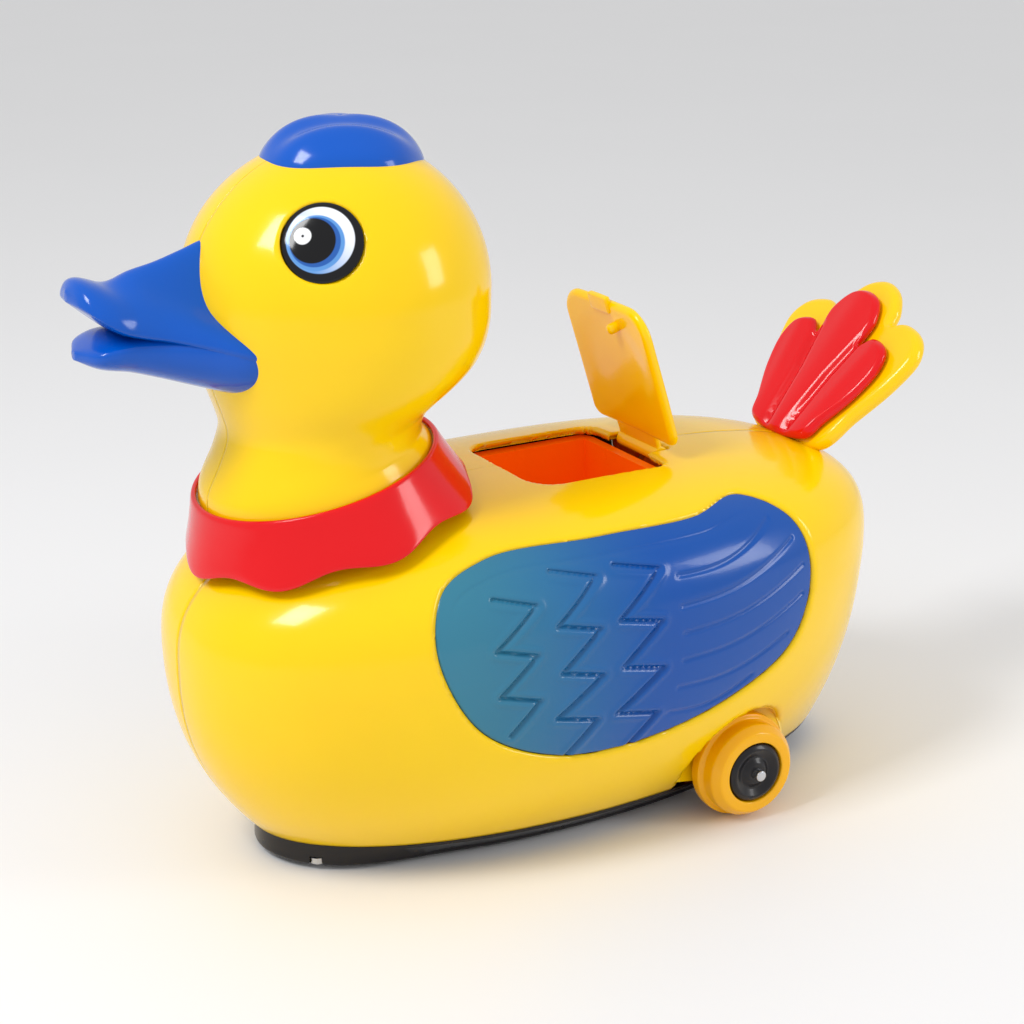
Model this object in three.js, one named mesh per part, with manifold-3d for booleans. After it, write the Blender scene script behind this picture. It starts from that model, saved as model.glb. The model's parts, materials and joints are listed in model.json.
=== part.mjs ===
// Egg-laying duck: a battery toy that drives on a swivelling bump-and-go turret and drops eggs at the back.
// Millimetres, +Z up. The duck faces -X, its left side is -Y, and it stands on Z = 0.
import * as THREE from "three";
import { mergeVertices } from "three/addons/utils/BufferGeometryUtils.js";
import Module from "manifold-3d";

const wasm = await Module();
wasm.setup();

// ---------- driving dimensions ----------
const gap = 0.3; // between pieces that seat on each other
const running = 0.4; // between a moving piece and its neighbour
const seam = 0.2; // between the left and right half of a casing

const body = {
  x: 4.5, halfLength: 101, halfWidth: 57, crown: 95.5, edge: 8,
  bulge: 61, bulgeRise: 4, wall: 2.2,
  edgeFront: 0.805, edgeRear: 0.94, edgeWidth: 0.66, belowPower: 2.4,
  frontPower: 2.7, rearPower: 3.6, sidePower: 3, planPower: 2.4, planPowerBelow: 2,
};
const collar = {
  x: -54, z: 90.6, lean: 14, bottomRadius: 38, topRadius: 32.2,
  height: 14.6, thickness: 1.8, waves: 8, waveDepth: 1.1, seatHeight: 13,
};
const head = { x: -48.5, z: 149, radius: 37, wall: 2, neckRadius: 27.6, neckX: -55.2 };
const beak = { tipX: -119.4, tipZ: 158, rootTop: 163, rootBottom: 127.5, halfWidth: 19, mouthX: -105.5, mouthZ: 143.6 };
const comb = { x: -47.8, baseZ: 179, halfLength: 20.6, halfWidth: 18, height: 12.4 };
const eye = { radius: 10.4, forward: 33.5, up: 29, proud: 1.4, depth: 3.4 };
const tail = { x: 88, z: 90, lean: 41, thickness: 5, redThickness: 3, length: 54, root: 9 };
const hatch = { x: -4, length: 40, halfWidth: 20, corner: 4, tongueHalfWidth: 9.5, tongueLength: 5,
  hook: 4.5, catchReach: 1.8, open: 72 };
const hinge = { pinRadius: 1, barrelRadius: 2.2, drop: 1.9, earWidth: 3, thickness: 2 };
const chute = { wall: 1.6, frontZ: 56, rearX: 90, rearZ: 27, halfWidth: 19, sideHeight: 20, ledge: 1.5, top: 91.6,
  eggRoom: 29 };
const outlet = { top: 62.5, bottom: 21, halfWidth: 19.5, thickness: 2 };
const star = { x: 68, z: 75, reach: 14, armWidth: 3.2, hub: 3.4, halfLength: 9, shaft: 1.5, gearRadius: 9, gearY: 30 };
const base = { bottom: 1.5, plate: 2, rim: 6, inset: 1 };
const axle = { x: 46.5, z: 14.5, radius: 1.5, halfLength: 53 };
const wheel = { radius: 14.5, inner: 39.8, width: 10.6, hubRadius: 8.2, archGap: 2.4 };
const turret = { x: -38, holeRadius: 22.4, flangeRadius: 24.2, ringRadius: 26, cheek: 1.6, cheekY: 9.6, top: 24 };
const drive = { x: -34, z: 11, radius: 11, coreRadius: 9, wheelY: 12, wheelWidth: 4, shaft: 1.2, module: 1 };
const motor = { halfWidth: 10, height: 15, length: 22 };
const cell = { radius: 7.25, length: 50, pitch: 15.3, count: 3 };
const batteryBox = { x: -9.8, halfWidth: 27, wall: 1.6, top: 21 };
const speaker = { x: 79, radius: 13, height: 9 };
const slider = { x: 56, travel: 6, halfLength: 9, halfWidth: 4.5, height: 5 };
const screw = { head: 2.4, shank: 1.2, length: 12 };

// ---------- materials ----------
const finish = (color, roughness, metalness = 0) =>
  new THREE.MeshStandardMaterial({ color, roughness, metalness });
const yellow = finish("#fcd50c", 0.16);
const amber = finish("#f0a210", 0.25);
const blue = finish("#1452c8", 0.15);
const wingBlue = finish("#1a5fc0", 0.12);
const red = finish("#dc1020", 0.18);
const black = finish("#141216", 0.4);
const white = finish("#eef2f6", 0.2);
const steel = finish("#c4c8cc", 0.25, 1);
const rubber = finish("#1c1c1e", 0.8);
const nylon = finish("#e8e6dc", 0.4);
const board = finish("#1f6b3a", 0.5);
const clearWhite = finish("#f4f4ec", 0.1);

// ---------- solids ----------
const radians = THREE.MathUtils.degToRad;
const power = (value, exponent) => Math.sign(value) * Math.abs(value) ** exponent;

function toSolid(geometry) {
  const loose = geometry.index ? geometry.toNonIndexed() : geometry;
  const bare = new THREE.BufferGeometry().setAttribute("position", loose.getAttribute("position"));
  const merged = mergeVertices(bare, 1e-4);
  return new wasm.Manifold(new wasm.Mesh({
    numProp: 3,
    vertProperties: merged.attributes.position.array,
    triVerts: new Uint32Array(merged.index.array),
  }));
}

function toGeometry(solid) {
  const mesh = solid.getMesh();
  const geometry = new THREE.BufferGeometry();
  geometry.setAttribute("position", new THREE.BufferAttribute(mesh.vertProperties, 3));
  geometry.setIndex(new THREE.BufferAttribute(mesh.triVerts, 1));
  geometry.computeVertexNormals();
  return geometry;
}

const join = (first, ...others) =>
  toGeometry(others.reduce((solid, other) => solid.add(toSolid(other)), toSolid(first)));
const cut = (first, ...tools) =>
  toGeometry(tools.reduce((solid, tool) => solid.subtract(toSolid(tool)), toSolid(first)));
const common = (first, ...others) =>
  toGeometry(others.reduce((solid, other) => solid.intersect(toSolid(other)), toSolid(first)));

// Turns the faces of a closed mesh outwards: its volume, summed over tetrahedra, has to be positive.
function facingOut(positions, faces) {
  const [a, b, c] = [new THREE.Vector3(), new THREE.Vector3(), new THREE.Vector3()];
  let volume = 0;
  for (let i = 0; i < faces.length; i += 3) {
    a.fromArray(positions, 3 * faces[i]);
    b.fromArray(positions, 3 * faces[i + 1]);
    c.fromArray(positions, 3 * faces[i + 2]);
    volume += a.dot(b.cross(c));
  }
  if (volume < 0) faces.reverse();
  const geometry = new THREE.BufferGeometry();
  geometry.setAttribute("position", new THREE.Float32BufferAttribute(positions, 3));
  geometry.setIndex(faces);
  return geometry;
}

// A closed surface of rings: point(along, turn) with along from 0 to 1, and both ends closed by a fan.
function skin(rings, sides, point) {
  const positions = [];
  const faces = [];
  for (let i = 0; i < rings; i++)
    for (let j = 0; j < sides; j++)
      positions.push(...point(i / (rings - 1), (2 * Math.PI * j) / sides));
  for (let i = 0; i + 1 < rings; i++)
    for (let j = 0; j < sides; j++) {
      const [a, b] = [i * sides + j, i * sides + ((j + 1) % sides)];
      faces.push(a, b, a + sides, b, b + sides, a + sides);
    }
  [0, rings - 1].forEach((ring, end) => {
    const middle = [0, 1, 2].map((axis) => {
      let sum = 0;
      for (let j = 0; j < sides; j++) sum += positions[3 * (ring * sides + j) + axis];
      return sum / sides;
    });
    const centre = positions.length / 3;
    positions.push(...middle);
    for (let j = 0; j < sides; j++) {
      const [a, b] = [ring * sides + j, ring * sides + ((j + 1) % sides)];
      faces.push(...(end ? [a, b, centre] : [b, a, centre]));
    }
  });
  return facingOut(positions, faces);
}

// A closed ring: point(section, turn), both running once round.
function hoop(sections, sides, point) {
  const positions = [];
  const faces = [];
  for (let i = 0; i < sections; i++)
    for (let j = 0; j < sides; j++) positions.push(...point(i / sections, (2 * Math.PI * j) / sides));
  for (let i = 0; i < sections; i++)
    for (let j = 0; j < sides; j++) {
      const next = ((i + 1) % sections) * sides;
      const [a, b] = [i * sides + j, i * sides + ((j + 1) % sides)];
      const [c, d] = [next + j, next + ((j + 1) % sides)];
      faces.push(a, b, c, b, d, c);
    }
  return facingOut(positions, faces);
}

// A block given by its lowest and highest corners.
function block(x0, x1, y0, y1, z0, z1) {
  return new THREE.BoxGeometry(x1 - x0, y1 - y0, z1 - z0)
    .translate((x0 + x1) / 2, (y0 + y1) / 2, (z0 + z1) / 2);
}

const rodZ = (radius, z0, z1, x, y, sides = 14) =>
  new THREE.CylinderGeometry(radius, radius, z1 - z0, sides).rotateX(Math.PI / 2).translate(x, y, (z0 + z1) / 2);
const rodY = (radius, y0, y1, x, z, sides = 14) =>
  new THREE.CylinderGeometry(radius, radius, y1 - y0, sides).translate(x, (y0 + y1) / 2, z);
const rodX = (radius, x0, x1, y, z, sides = 14) =>
  new THREE.CylinderGeometry(radius, radius, x1 - x0, sides).rotateZ(Math.PI / 2).translate((x0 + x1) / 2, y, z);

// An outline of [x, z] points carried from y0 to y1.
function prismY(points, y0, y1) {
  const shape = new THREE.Shape(points.map(([x, z]) => new THREE.Vector2(x, z)));
  return new THREE.ExtrudeGeometry(shape, { depth: y1 - y0, bevelEnabled: false })
    .rotateX(Math.PI / 2).translate(0, y1, 0);
}

// An outline of [x, y] points carried from z0 to z1.
function prismZ(points, z0, z1) {
  const shape = new THREE.Shape(points.map(([x, y]) => new THREE.Vector2(x, y)));
  return new THREE.ExtrudeGeometry(shape, { depth: z1 - z0, bevelEnabled: false }).translate(0, 0, z0);
}

// A rounded rectangle as [x, y] points.
function roundedRectangle(x0, x1, y0, y1, radius, steps = 4) {
  const corners = [[x1 - radius, y1 - radius, 0], [x0 + radius, y1 - radius, 1],
    [x0 + radius, y0 + radius, 2], [x1 - radius, y0 + radius, 3]];
  return corners.flatMap(([x, y, quarter]) =>
    Array.from({ length: steps + 1 }, (_, i) => {
      const angle = (quarter + i / steps) * Math.PI / 2;
      return [x + radius * Math.cos(angle), y + radius * Math.sin(angle)];
    }));
}

// A smooth closed outline through a few [x, z] points.
function smoothOutline(points, steps) {
  const curve = new THREE.CatmullRomCurve3(points.map(([x, z]) => new THREE.Vector3(x, z, 0)), true, "centripetal");
  return curve.getPoints(steps).slice(0, -1).map((p) => [p.x, p.y]);
}

// A value eased through [place, value] stations.
function eased(stations, place) {
  const last = stations.length - 1;
  if (place <= stations[0][0]) return stations[0][1];
  if (place >= stations[last][0]) return stations[last][1];
  const i = stations.findIndex(([at]) => at > place) - 1;
  const slope = (k) => {
    const [from, to] = [stations[Math.max(k - 1, 0)], stations[Math.min(k + 1, last)]];
    return (to[1] - from[1]) / (to[0] - from[0]);
  };
  const [[x0, y0], [x1, y1]] = [stations[i], stations[i + 1]];
  const width = x1 - x0;
  const t = (place - x0) / width;
  return y0 * (1 + 2 * t) * (1 - t) ** 2 + slope(i) * width * t * (1 - t) ** 2
    + y1 * t * t * (3 - 2 * t) + slope(i + 1) * width * t * t * (t - 1);
}

// A spur gear about the Y axis: each tooth is a trapezium between the root and the tip circle.
function gear(teeth, pitchRadius, y0, y1, x, z, phase = 0) {
  const tip = pitchRadius + 0.5 * drive.module;
  const root = pitchRadius - 0.8 * drive.module;
  const step = (2 * Math.PI) / teeth;
  const outline = Array.from({ length: teeth }, (_, i) =>
    [[root, -0.2], [tip, -0.08], [tip, 0.08], [root, 0.2]].map(([r, share]) => {
      const angle = (i + share + phase) * step;
      return [x + r * Math.cos(angle), z + r * Math.sin(angle)];
    })).flat();
  return prismY(outline, y0, y1);
}

const toy = new THREE.Group();
function add(name, geometry, material, parent = toy) {
  const mesh = new THREE.Mesh(geometry, material);
  mesh.name = name;
  parent.add(mesh);
  return mesh;
}
const sides = [["left", -1], ["right", 1]];

// Keeps one half of a casing that is split on the middle plane.
function half(geometry, side) {
  const reach = 300;
  const [y0, y1] = side < 0 ? [-seam / 2, reach] : [-reach, seam / 2];
  return cut(geometry, block(-reach, reach, y0, y1, -reach, reach));
}

// ---------- casing ----------
// A point of the body: rise runs from -1 at the lower edge over 0 at the bulge to 1 at the crown.
function bodyPoint(rise, turn, inset = 0, drop = 0) {
  const [c, s] = [Math.cos(turn), Math.sin(turn)];
  const bulge = body.bulge + body.bulgeRise * c;
  const below = Math.max(-rise, 0);
  const crownPower = body.sidePower + ((c > 0 ? body.rearPower : body.frontPower) - body.sidePower) * c * c;
  const angle = Math.max(rise, 0) * Math.PI / 2;
  const above = Math.cos(angle) ** (2 / crownPower);
  const edgeLength = (body.edgeRear + body.edgeFront) / 2 + ((body.edgeRear - body.edgeFront) / 2) * c;
  const lengthShare = above * (1 - (1 - edgeLength) * below ** body.belowPower);
  const widthShare = above * (1 - (1 - body.edgeWidth) * below ** body.belowPower);
  const plan = 2 / (body.planPower - (body.planPower - body.planPowerBelow) * below);
  const z = rise < 0
    ? bulge - below * (bulge - body.edge + drop)
    : bulge + (body.crown - inset - bulge) * Math.sin(angle) ** (2 / crownPower);
  return [
    body.x + (body.halfLength - inset) * lengthShare * power(c, plan),
    (body.halfWidth - inset) * widthShare * power(s, plan),
    z,
  ];
}

// The whole body surface, moved inwards by inset; drop carries its open end below the edge.
function bodySkin(rings, around, inset = 0, drop = 0) {
  const belowShare = 0.34;
  return skin(rings, around, (along, turn) => {
    const rise = along < belowShare
      ? along / belowShare - 1
      : 0.992 * (along - belowShare) / (1 - belowShare);
    return bodyPoint(rise, turn, inset, drop);
  });
}
const fine = { rings: 15, around: 36 };
const coarse = { rings: 11, around: 26 };
const bodyOuter = bodySkin(fine.rings, fine.around);

// Places a piece drawn about the collar's own axis.
function onCollarAxis(geometry) {
  return geometry.rotateY(radians(-collar.lean)).translate(collar.x, 0, collar.z);
}
function lathe(points, around) {
  return new THREE.LatheGeometry(points.map(([r, z]) => new THREE.Vector2(r, z)), around).rotateX(Math.PI / 2);
}

const seatRadius = collar.topRadius - collar.thickness - 2 * gap;
function shoulder(inset) {
  const skirt = collar.bottomRadius - collar.thickness - 1.2 - inset;
  const top = collar.seatHeight + (inset ? 1 : 0);
  return onCollarAxis(lathe([[0, -24], [skirt + 4.5, -24], [skirt + 1.5, -8], [skirt, 0],
    [seatRadius + 1.4 - inset, 7.5], [seatRadius - inset, top], [0, top]], 28));
}

// The lid's outline seen from above, grown all round by an allowance.
function lidOutline(allowance, behind = 0) {
  const rear = hatch.x + hatch.length;
  const panel = roundedRectangle(hatch.x - allowance, rear + allowance,
    -hatch.halfWidth - allowance, hatch.halfWidth + allowance, hatch.corner);
  const width = hatch.tongueHalfWidth + allowance;
  return [panel, [[rear - 2, -width], [rear + hatch.tongueLength + behind, -width],
    [rear + hatch.tongueLength + behind, width], [rear - 2, width]]];
}
const lidTool = (allowance, z0, z1, behind) =>
  join(...lidOutline(allowance, behind).map((points) => prismZ(points, z0, z1)));
const lidAxis = { x: hatch.x + hatch.length + hatch.tongueLength, z: body.crown - hinge.drop };

// Outline of a wing seen from the side.
const wingOutline = smoothOutline([[-49.5, 69], [-46, 81.5], [-32, 87.5], [0, 88.5], [28, 88.5], [47, 90], [59, 83],
  [63, 66], [57, 50], [36, 39.5], [5, 33.5], [-18, 35.5], [-39, 47]], 36);
function grown(points, allowance) {
  return points.map(([x, z], i) => {
    const [[ax, az], [bx, bz]] = [points.at(i - 1), points[(i + 1) % points.length]];
    const length = Math.hypot(bx - ax, bz - az);
    return [x - allowance * (bz - az) / length, z + allowance * (bx - ax) / length];
  });
}
const clockwise = THREE.ShapeUtils.area(wingOutline.map(([x, z]) => new THREE.Vector2(x, z))) < 0;
const wingTool = (allowance, side) =>
  prismY(grown(wingOutline, clockwise ? allowance : -allowance), side < 0 ? -90 : 22, side < 0 ? -22 : 90);

// The fan of the tail in its own plane: across is Y, up is the lean direction.
function tailFan(shrink, thickness, front) {
  const s = 1 - shrink;
  const rightHalf = [[0, tail.length], [5.5, 51], [9.5, 44], [10.5, 36], [17, 41.5], [24.5, 41], [28.5, 35],
    [26, 25], [19.5, 12], [14.5, 1]];
  const outline = rightHalf.map(([across, up]) => [across * s, 1 + (up - 1) * s]);
  const points = [...outline, ...outline.slice(1).reverse().map(([across, up]) => [-across, up])];
  const upper = smoothOutline(points, 44);
  return new THREE.ExtrudeGeometry(new THREE.Shape(upper.map(([a, b]) => new THREE.Vector2(a, b))),
    { depth: thickness, bevelEnabled: false }).translate(0, 0, front);
}
// Turns the fan's plane so that it stands across the body and leans back.
function placeTail(geometry) {
  return geometry.rotateX(Math.PI / 2).rotateZ(-Math.PI / 2).rotateY(radians(tail.lean)).translate(tail.x, 0, tail.z);
}
const tailTab = (allowance) => placeTail(new THREE.BoxGeometry(22 + 2 * allowance, 2 * tail.root, 4 + 2 * allowance)
  .translate(0, 0, -tail.thickness / 2));

const flapAxis = (() => {
  const rear = bodyPoint(0.05, 0)[0];
  return { x: rear - 1.9, z: outlet.top - hinge.barrelRadius - running };
})();
const bossRadius = 4.2;
const bossTurns = [0.86, 1.14, 1.8, 0.2].map((share) => share * Math.PI);
const bossPlaces = bossTurns.map((turn) => bodyPoint(-1, turn, body.wall + 2));

function casing() {
  const inner = bodySkin(coarse.rings, coarse.around, body.wall, 2);
  let shell = join(bodyOuter, shoulder(0));
  shell = cut(shell, inner, shoulder(body.wall));
  const archRadius = wheel.radius + wheel.archGap;
  sides.forEach(([, side]) => {
    const inside = side * (wheel.inner - 3);
    const out = side * 70;
    const liner = common(bodyOuter,
      rodY(archRadius + 1.8, Math.min(inside, out), Math.max(inside, out), axle.x, axle.z, 36));
    const pocket = side * (wheel.inner - running * 2);
    shell = cut(join(shell, liner),
      rodY(archRadius, Math.min(pocket, out), Math.max(pocket, out), axle.x, axle.z, 36),
      wingTool(gap, side));
  });
  bossPlaces.forEach(([x, y]) => {
    shell = join(shell, common(bodyOuter, rodZ(bossRadius, base.bottom + base.rim + 2 * gap, 24, x, y)));
  });
  const ears = [-1, 1].map((side) => {
    const near = side * (hatch.tongueHalfWidth + running * 2);
    const far = near + side * hinge.earWidth;
    return join(rodY(3, Math.min(near, far), Math.max(near, far), lidAxis.x, lidAxis.z - 1),
      block(lidAxis.x - 3, lidAxis.x + 5, Math.min(near, far), Math.max(near, far), lidAxis.z - 1, body.crown - 1.2));
  });
  const flapEars = [-1, 1].map((side) => {
    const near = side * (outlet.halfWidth - 3.5);
    const far = side * (outlet.halfWidth + 2);
    return block(flapAxis.x - 2.6, flapAxis.x + 1.2, Math.min(near, far), Math.max(near, far),
      flapAxis.z - 2.4, outlet.top + 2);
  });
  const catchSlot = block(hatch.x - hatch.catchReach - running, hatch.x + 1, -hatch.hook - running,
    hatch.hook + running, body.crown - 3.2 - running, body.crown + 5);
  shell = cut(shell, catchSlot, lidTool(gap, body.crown - 12, body.crown + 5, hinge.barrelRadius + running),
    block(body.x + 60, body.x + 120, -outlet.halfWidth - gap, outlet.halfWidth + gap, outlet.bottom, outlet.top),
    rodY(axle.radius + running, -70, 70, axle.x, axle.z), tailTab(gap));
  shell = join(shell, ...ears, ...flapEars.map((ear) => common(ear, bodyOuter)));
  return cut(shell,
    rodY(hinge.pinRadius + 0.25, -16, 16, lidAxis.x, lidAxis.z),
    rodY(hinge.pinRadius + 0.25, -outlet.halfWidth - 0.5, outlet.halfWidth + 0.5, flapAxis.x, flapAxis.z),
    ...bossPlaces.map(([x, y]) => rodZ(screw.shank + 0.2, 0, base.bottom + screw.length + 2, x, y)));
}
const wholeCasing = casing();
sides.forEach(([name, side]) => add(`body_shell_${name}`, half(wholeCasing, side), yellow));

// ---------- collar ----------
function collarBand() {
  return onCollarAxis(hoop(8, 40, (section, turn) => {
    const outside = section < 0.5;
    const down = outside ? section / 0.375 : (0.875 - section) / 0.375;
    const wave = collar.waveDepth * Math.cos(collar.waves * turn) * Math.max(down, 0);
    const share = Math.min(Math.max(down, 0), 1);
    const radius = collar.topRadius + (collar.bottomRadius - collar.topRadius) * share ** 1.25
      - (outside ? 0 : collar.thickness);
    return [radius * Math.cos(turn), radius * Math.sin(turn), collar.height * (1 - share) - wave];
  }));
}
add("collar", collarBand(), red);

// ---------- head ----------
const leanShare = Math.tan(radians(collar.lean));
const seat = {
  x: collar.x - Math.sin(radians(collar.lean)) * (collar.seatHeight + gap),
  z: collar.z + Math.cos(radians(collar.lean)) * (collar.seatHeight + gap),
};
// A point of the head and neck: along runs from the seat in the collar to the top of the head.
function headPoint(along, turn, inset = 0) {
  const neckShare = 0.5;
  if (along > neckShare) {
    const angle = ((along - neckShare) / (1 - neckShare)) * 0.985 * Math.PI / 2;
    const radius = (head.radius - inset) * Math.cos(angle);
    return [head.x + radius * Math.cos(turn), radius * Math.sin(turn),
      head.z + (head.radius - inset) * Math.sin(angle)];
  }
  const share = along / neckShare;
  const z = seat.z + (head.z - seat.z) * share;
  const radius = eased([[0, seatRadius - 0.2], [0.1, seatRadius - 1.9], [0.24, head.neckRadius],
    [0.35, head.neckRadius + 1.6], [0.55, head.radius - 2.8], [0.78, head.radius - 0.5], [1, head.radius]], share) - inset;
  const x = eased([[0, seat.x], [0.1, seat.x - 1.2], [0.25, head.neckX], [0.42, head.x - 1.2], [0.6, head.x], [1, head.x]],
    share);
  const tilt = leanShare * THREE.MathUtils.smoothstep(0.6 - share, 0, 0.42);
  return [x + radius * Math.cos(turn), radius * Math.sin(turn), z + tilt * radius * Math.cos(turn)];
}
const headSolid = (rings, around, inset) => skin(rings, around, (along, turn) => headPoint(along, turn, inset));
const headOuter = headSolid(14, 28, 0);

// Places a piece drawn along +Z, with its face outwards, at an eye.
function placeEye(geometry, side) {
  const [forward, up] = [radians(eye.forward), radians(eye.up)];
  const outward = new THREE.Vector3(-Math.sin(forward) * Math.cos(up), side * Math.cos(forward) * Math.cos(up),
    Math.sin(up));
  const turn = new THREE.Quaternion().setFromUnitVectors(new THREE.Vector3(0, 0, 1), outward);
  return geometry.applyQuaternion(turn).translate(head.x, 0, head.z);
}
const eyeFace = Math.sqrt(head.radius ** 2 - eye.radius ** 2);
const eyeHole = (side) => placeEye(rodZ(eye.radius + gap, eyeFace - 8, head.radius + 6, 0, 0, 24), side);

const beakPeg = { radius: 5, z: 146, x0: head.x - head.radius - 5, x1: head.x - head.radius + 5 };
const combPeg = { radius: 3, z0: head.z + head.radius - 5, z1: head.z + head.radius + 2 };
function headShell() {
  const shell = cut(headOuter, skin(11, 22, (along, turn) => {
    const [x, y, z] = headPoint(along, turn, head.wall);
    return along ? [x, y, z] : [x + leanShare, y, z - 4];
  }));
  return cut(shell, eyeHole(-1), eyeHole(1),
    rodX(beakPeg.radius + gap, beakPeg.x0, beakPeg.x1 + 3, 0, beakPeg.z),
    rodZ(combPeg.radius + gap, combPeg.z0 - 3, combPeg.z1, comb.x, 0));
}
const wholeHead = headShell();
sides.forEach(([name, side]) => add(`head_shell_${name}`, half(wholeHead, side), yellow));

sides.forEach(([name, side]) => {
  const rim = eyeFace - eye.depth;
  const dome = Array.from({ length: 4 }, (_, i) => {
    const angle = (i / 3) * Math.PI / 2;
    return [eye.radius * Math.cos(angle), eyeFace + 0.5 + eye.proud * Math.sin(angle)];
  });
  dome[3][0] = 0;
  add(`eye_${name}`, placeEye(lathe([[0, rim], [eye.radius, rim], ...dome], 24), side), white);
});

// The head's surface, moved out by the seating gap, that the beak and the comb are cut to.
const headSeat = headSolid(14, 28, -gap);

function beakSolid() {
  const rootX = head.x - head.radius * 0.72;
  const length = rootX - beak.tipX;
  const solid = skin(11, 20, (along, turn) => {
    const x = rootX - length * Math.min(along * 1.02, 1);
    const top = eased([[0, beak.rootTop + 4], [0.32, beak.rootTop - 2], [0.55, beak.rootTop - 4.8],
      [0.85, beak.tipZ + 0.5], [1, beak.tipZ - 3]], along);
    const bottom = eased([[0, beak.rootBottom - 3], [0.35, beak.rootBottom + 1.5], [0.6, 133.5], [0.9, 137.4],
      [1, 141]], along);
    const width = eased([[0, beak.halfWidth + 1], [0.25, beak.halfWidth - 1.5], [0.55, 12.6], [0.82, 12.8],
      [0.94, 9.5], [1, 3.5]], along);
    const middle = eased([[0, 138], [0.5, 142], [1, 147.5]], along);
    const [c, s] = [Math.cos(turn), Math.sin(turn)];
    const z = s > 0 ? middle + (top - middle) * s : middle + (middle - bottom) * s;
    return [x, width * power(c, s > 0 ? 1.25 : 0.85), z];
  });
  const mouth = prismY([[beak.mouthX, beak.mouthZ], [beak.tipX - 5, beak.mouthZ + 4.4],
    [beak.tipX - 5, beak.mouthZ - 1.6]], -30, 30);
  return join(cut(solid, mouth, headSeat), rodX(beakPeg.radius, beakPeg.x0, beakPeg.x1, 0, beakPeg.z));
}
add("beak", beakSolid(), blue);

function combSolid() {
  const dome = skin(5, 22, (along, turn) => {
    const angle = along * 0.985 * Math.PI / 2;
    const ripple = 1 + 0.02 * Math.cos(6 * turn) * Math.cos(angle);
    return [comb.x + comb.halfLength * ripple * Math.cos(angle) ** 0.8 * Math.cos(turn),
      comb.halfWidth * ripple * Math.cos(angle) ** 0.8 * Math.sin(turn),
      comb.baseZ + comb.height * Math.sin(angle)];
  });
  return join(cut(dome, headSeat), rodZ(combPeg.radius, combPeg.z0, combPeg.z1 + 1, comb.x, 0));
}
add("comb", combSolid(), blue);

// ---------- wings and their lights ----------
const wingFront = bodySkin(fine.rings, fine.around, 0.5);
const wingBack = bodySkin(coarse.rings, coarse.around, body.wall + 0.6, 2);
sides.forEach(([name, side]) => {
  add(`wing_${name}`, cut(common(wingFront, wingTool(0, side)), wingBack), wingBlue);
  const from = chute.halfWidth + chute.wall + gap;
  const lamp = [0, 42];
  const ledge = join(rodY(2, from, 40, lamp[0], 66, 12), rodY(4.5, 36, 38, lamp[0], 66, 16),
    new THREE.SphereGeometry(2.6, 16, 10).translate(lamp[0], 40, 66));
  add(`wing_lamp_${name}`, side < 0 ? ledge.rotateZ(Math.PI).translate(2 * lamp[0], 0, 0) : ledge, clearWhite);
});

// ---------- tail ----------
const bodySeat = bodySkin(fine.rings, fine.around, -gap);
const tailBack = cut(placeTail(tailFan(0, tail.thickness, -tail.thickness)), bodySeat);
add("tail_back", join(tailBack, tailTab(0)), yellow);
add("tail_front", cut(placeTail(tailFan(0.16, tail.redThickness, gap)), bodySeat), red);


// ---------- lid ----------
function lidSolid() {
  const plate = cut(common(bodyOuter, lidTool(0, body.crown - 12, body.crown + 5)),
    bodySkin(fine.rings, fine.around, hinge.thickness),
    block(lidAxis.x - 0.5, lidAxis.x + 20, -40, 40, 0, 200));
  const barrel = rodY(hinge.barrelRadius, -hatch.tongueHalfWidth, hatch.tongueHalfWidth, lidAxis.x, lidAxis.z);
  const neck = block(lidAxis.x - 5, lidAxis.x, -hatch.tongueHalfWidth, hatch.tongueHalfWidth,
    lidAxis.z - 1, lidAxis.z + hinge.barrelRadius - 0.5);
  const hook = block(hatch.x - hatch.catchReach, hatch.x + 2, -hatch.hook, hatch.hook, body.crown - 3.2, body.crown - 1.4);
  const solid = cut(join(plate, common(neck, bodyOuter), barrel, hook),
    rodY(hinge.pinRadius + 0.1, -40, 40, lidAxis.x, lidAxis.z));
  return solid.translate(-lidAxis.x, 0, -lidAxis.z);
}
const lidGroup = new THREE.Group();
lidGroup.position.set(lidAxis.x, 0, lidAxis.z);
lidGroup.rotation.y = radians(hatch.open);
toy.add(lidGroup);
add("lid", lidSolid(), yellow, lidGroup);
const pinReach = hatch.tongueHalfWidth + hinge.earWidth + 0.5;
add("lid_hinge_pin", rodY(hinge.pinRadius, -pinReach, pinReach, lidAxis.x, lidAxis.z, 12), steel);

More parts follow.
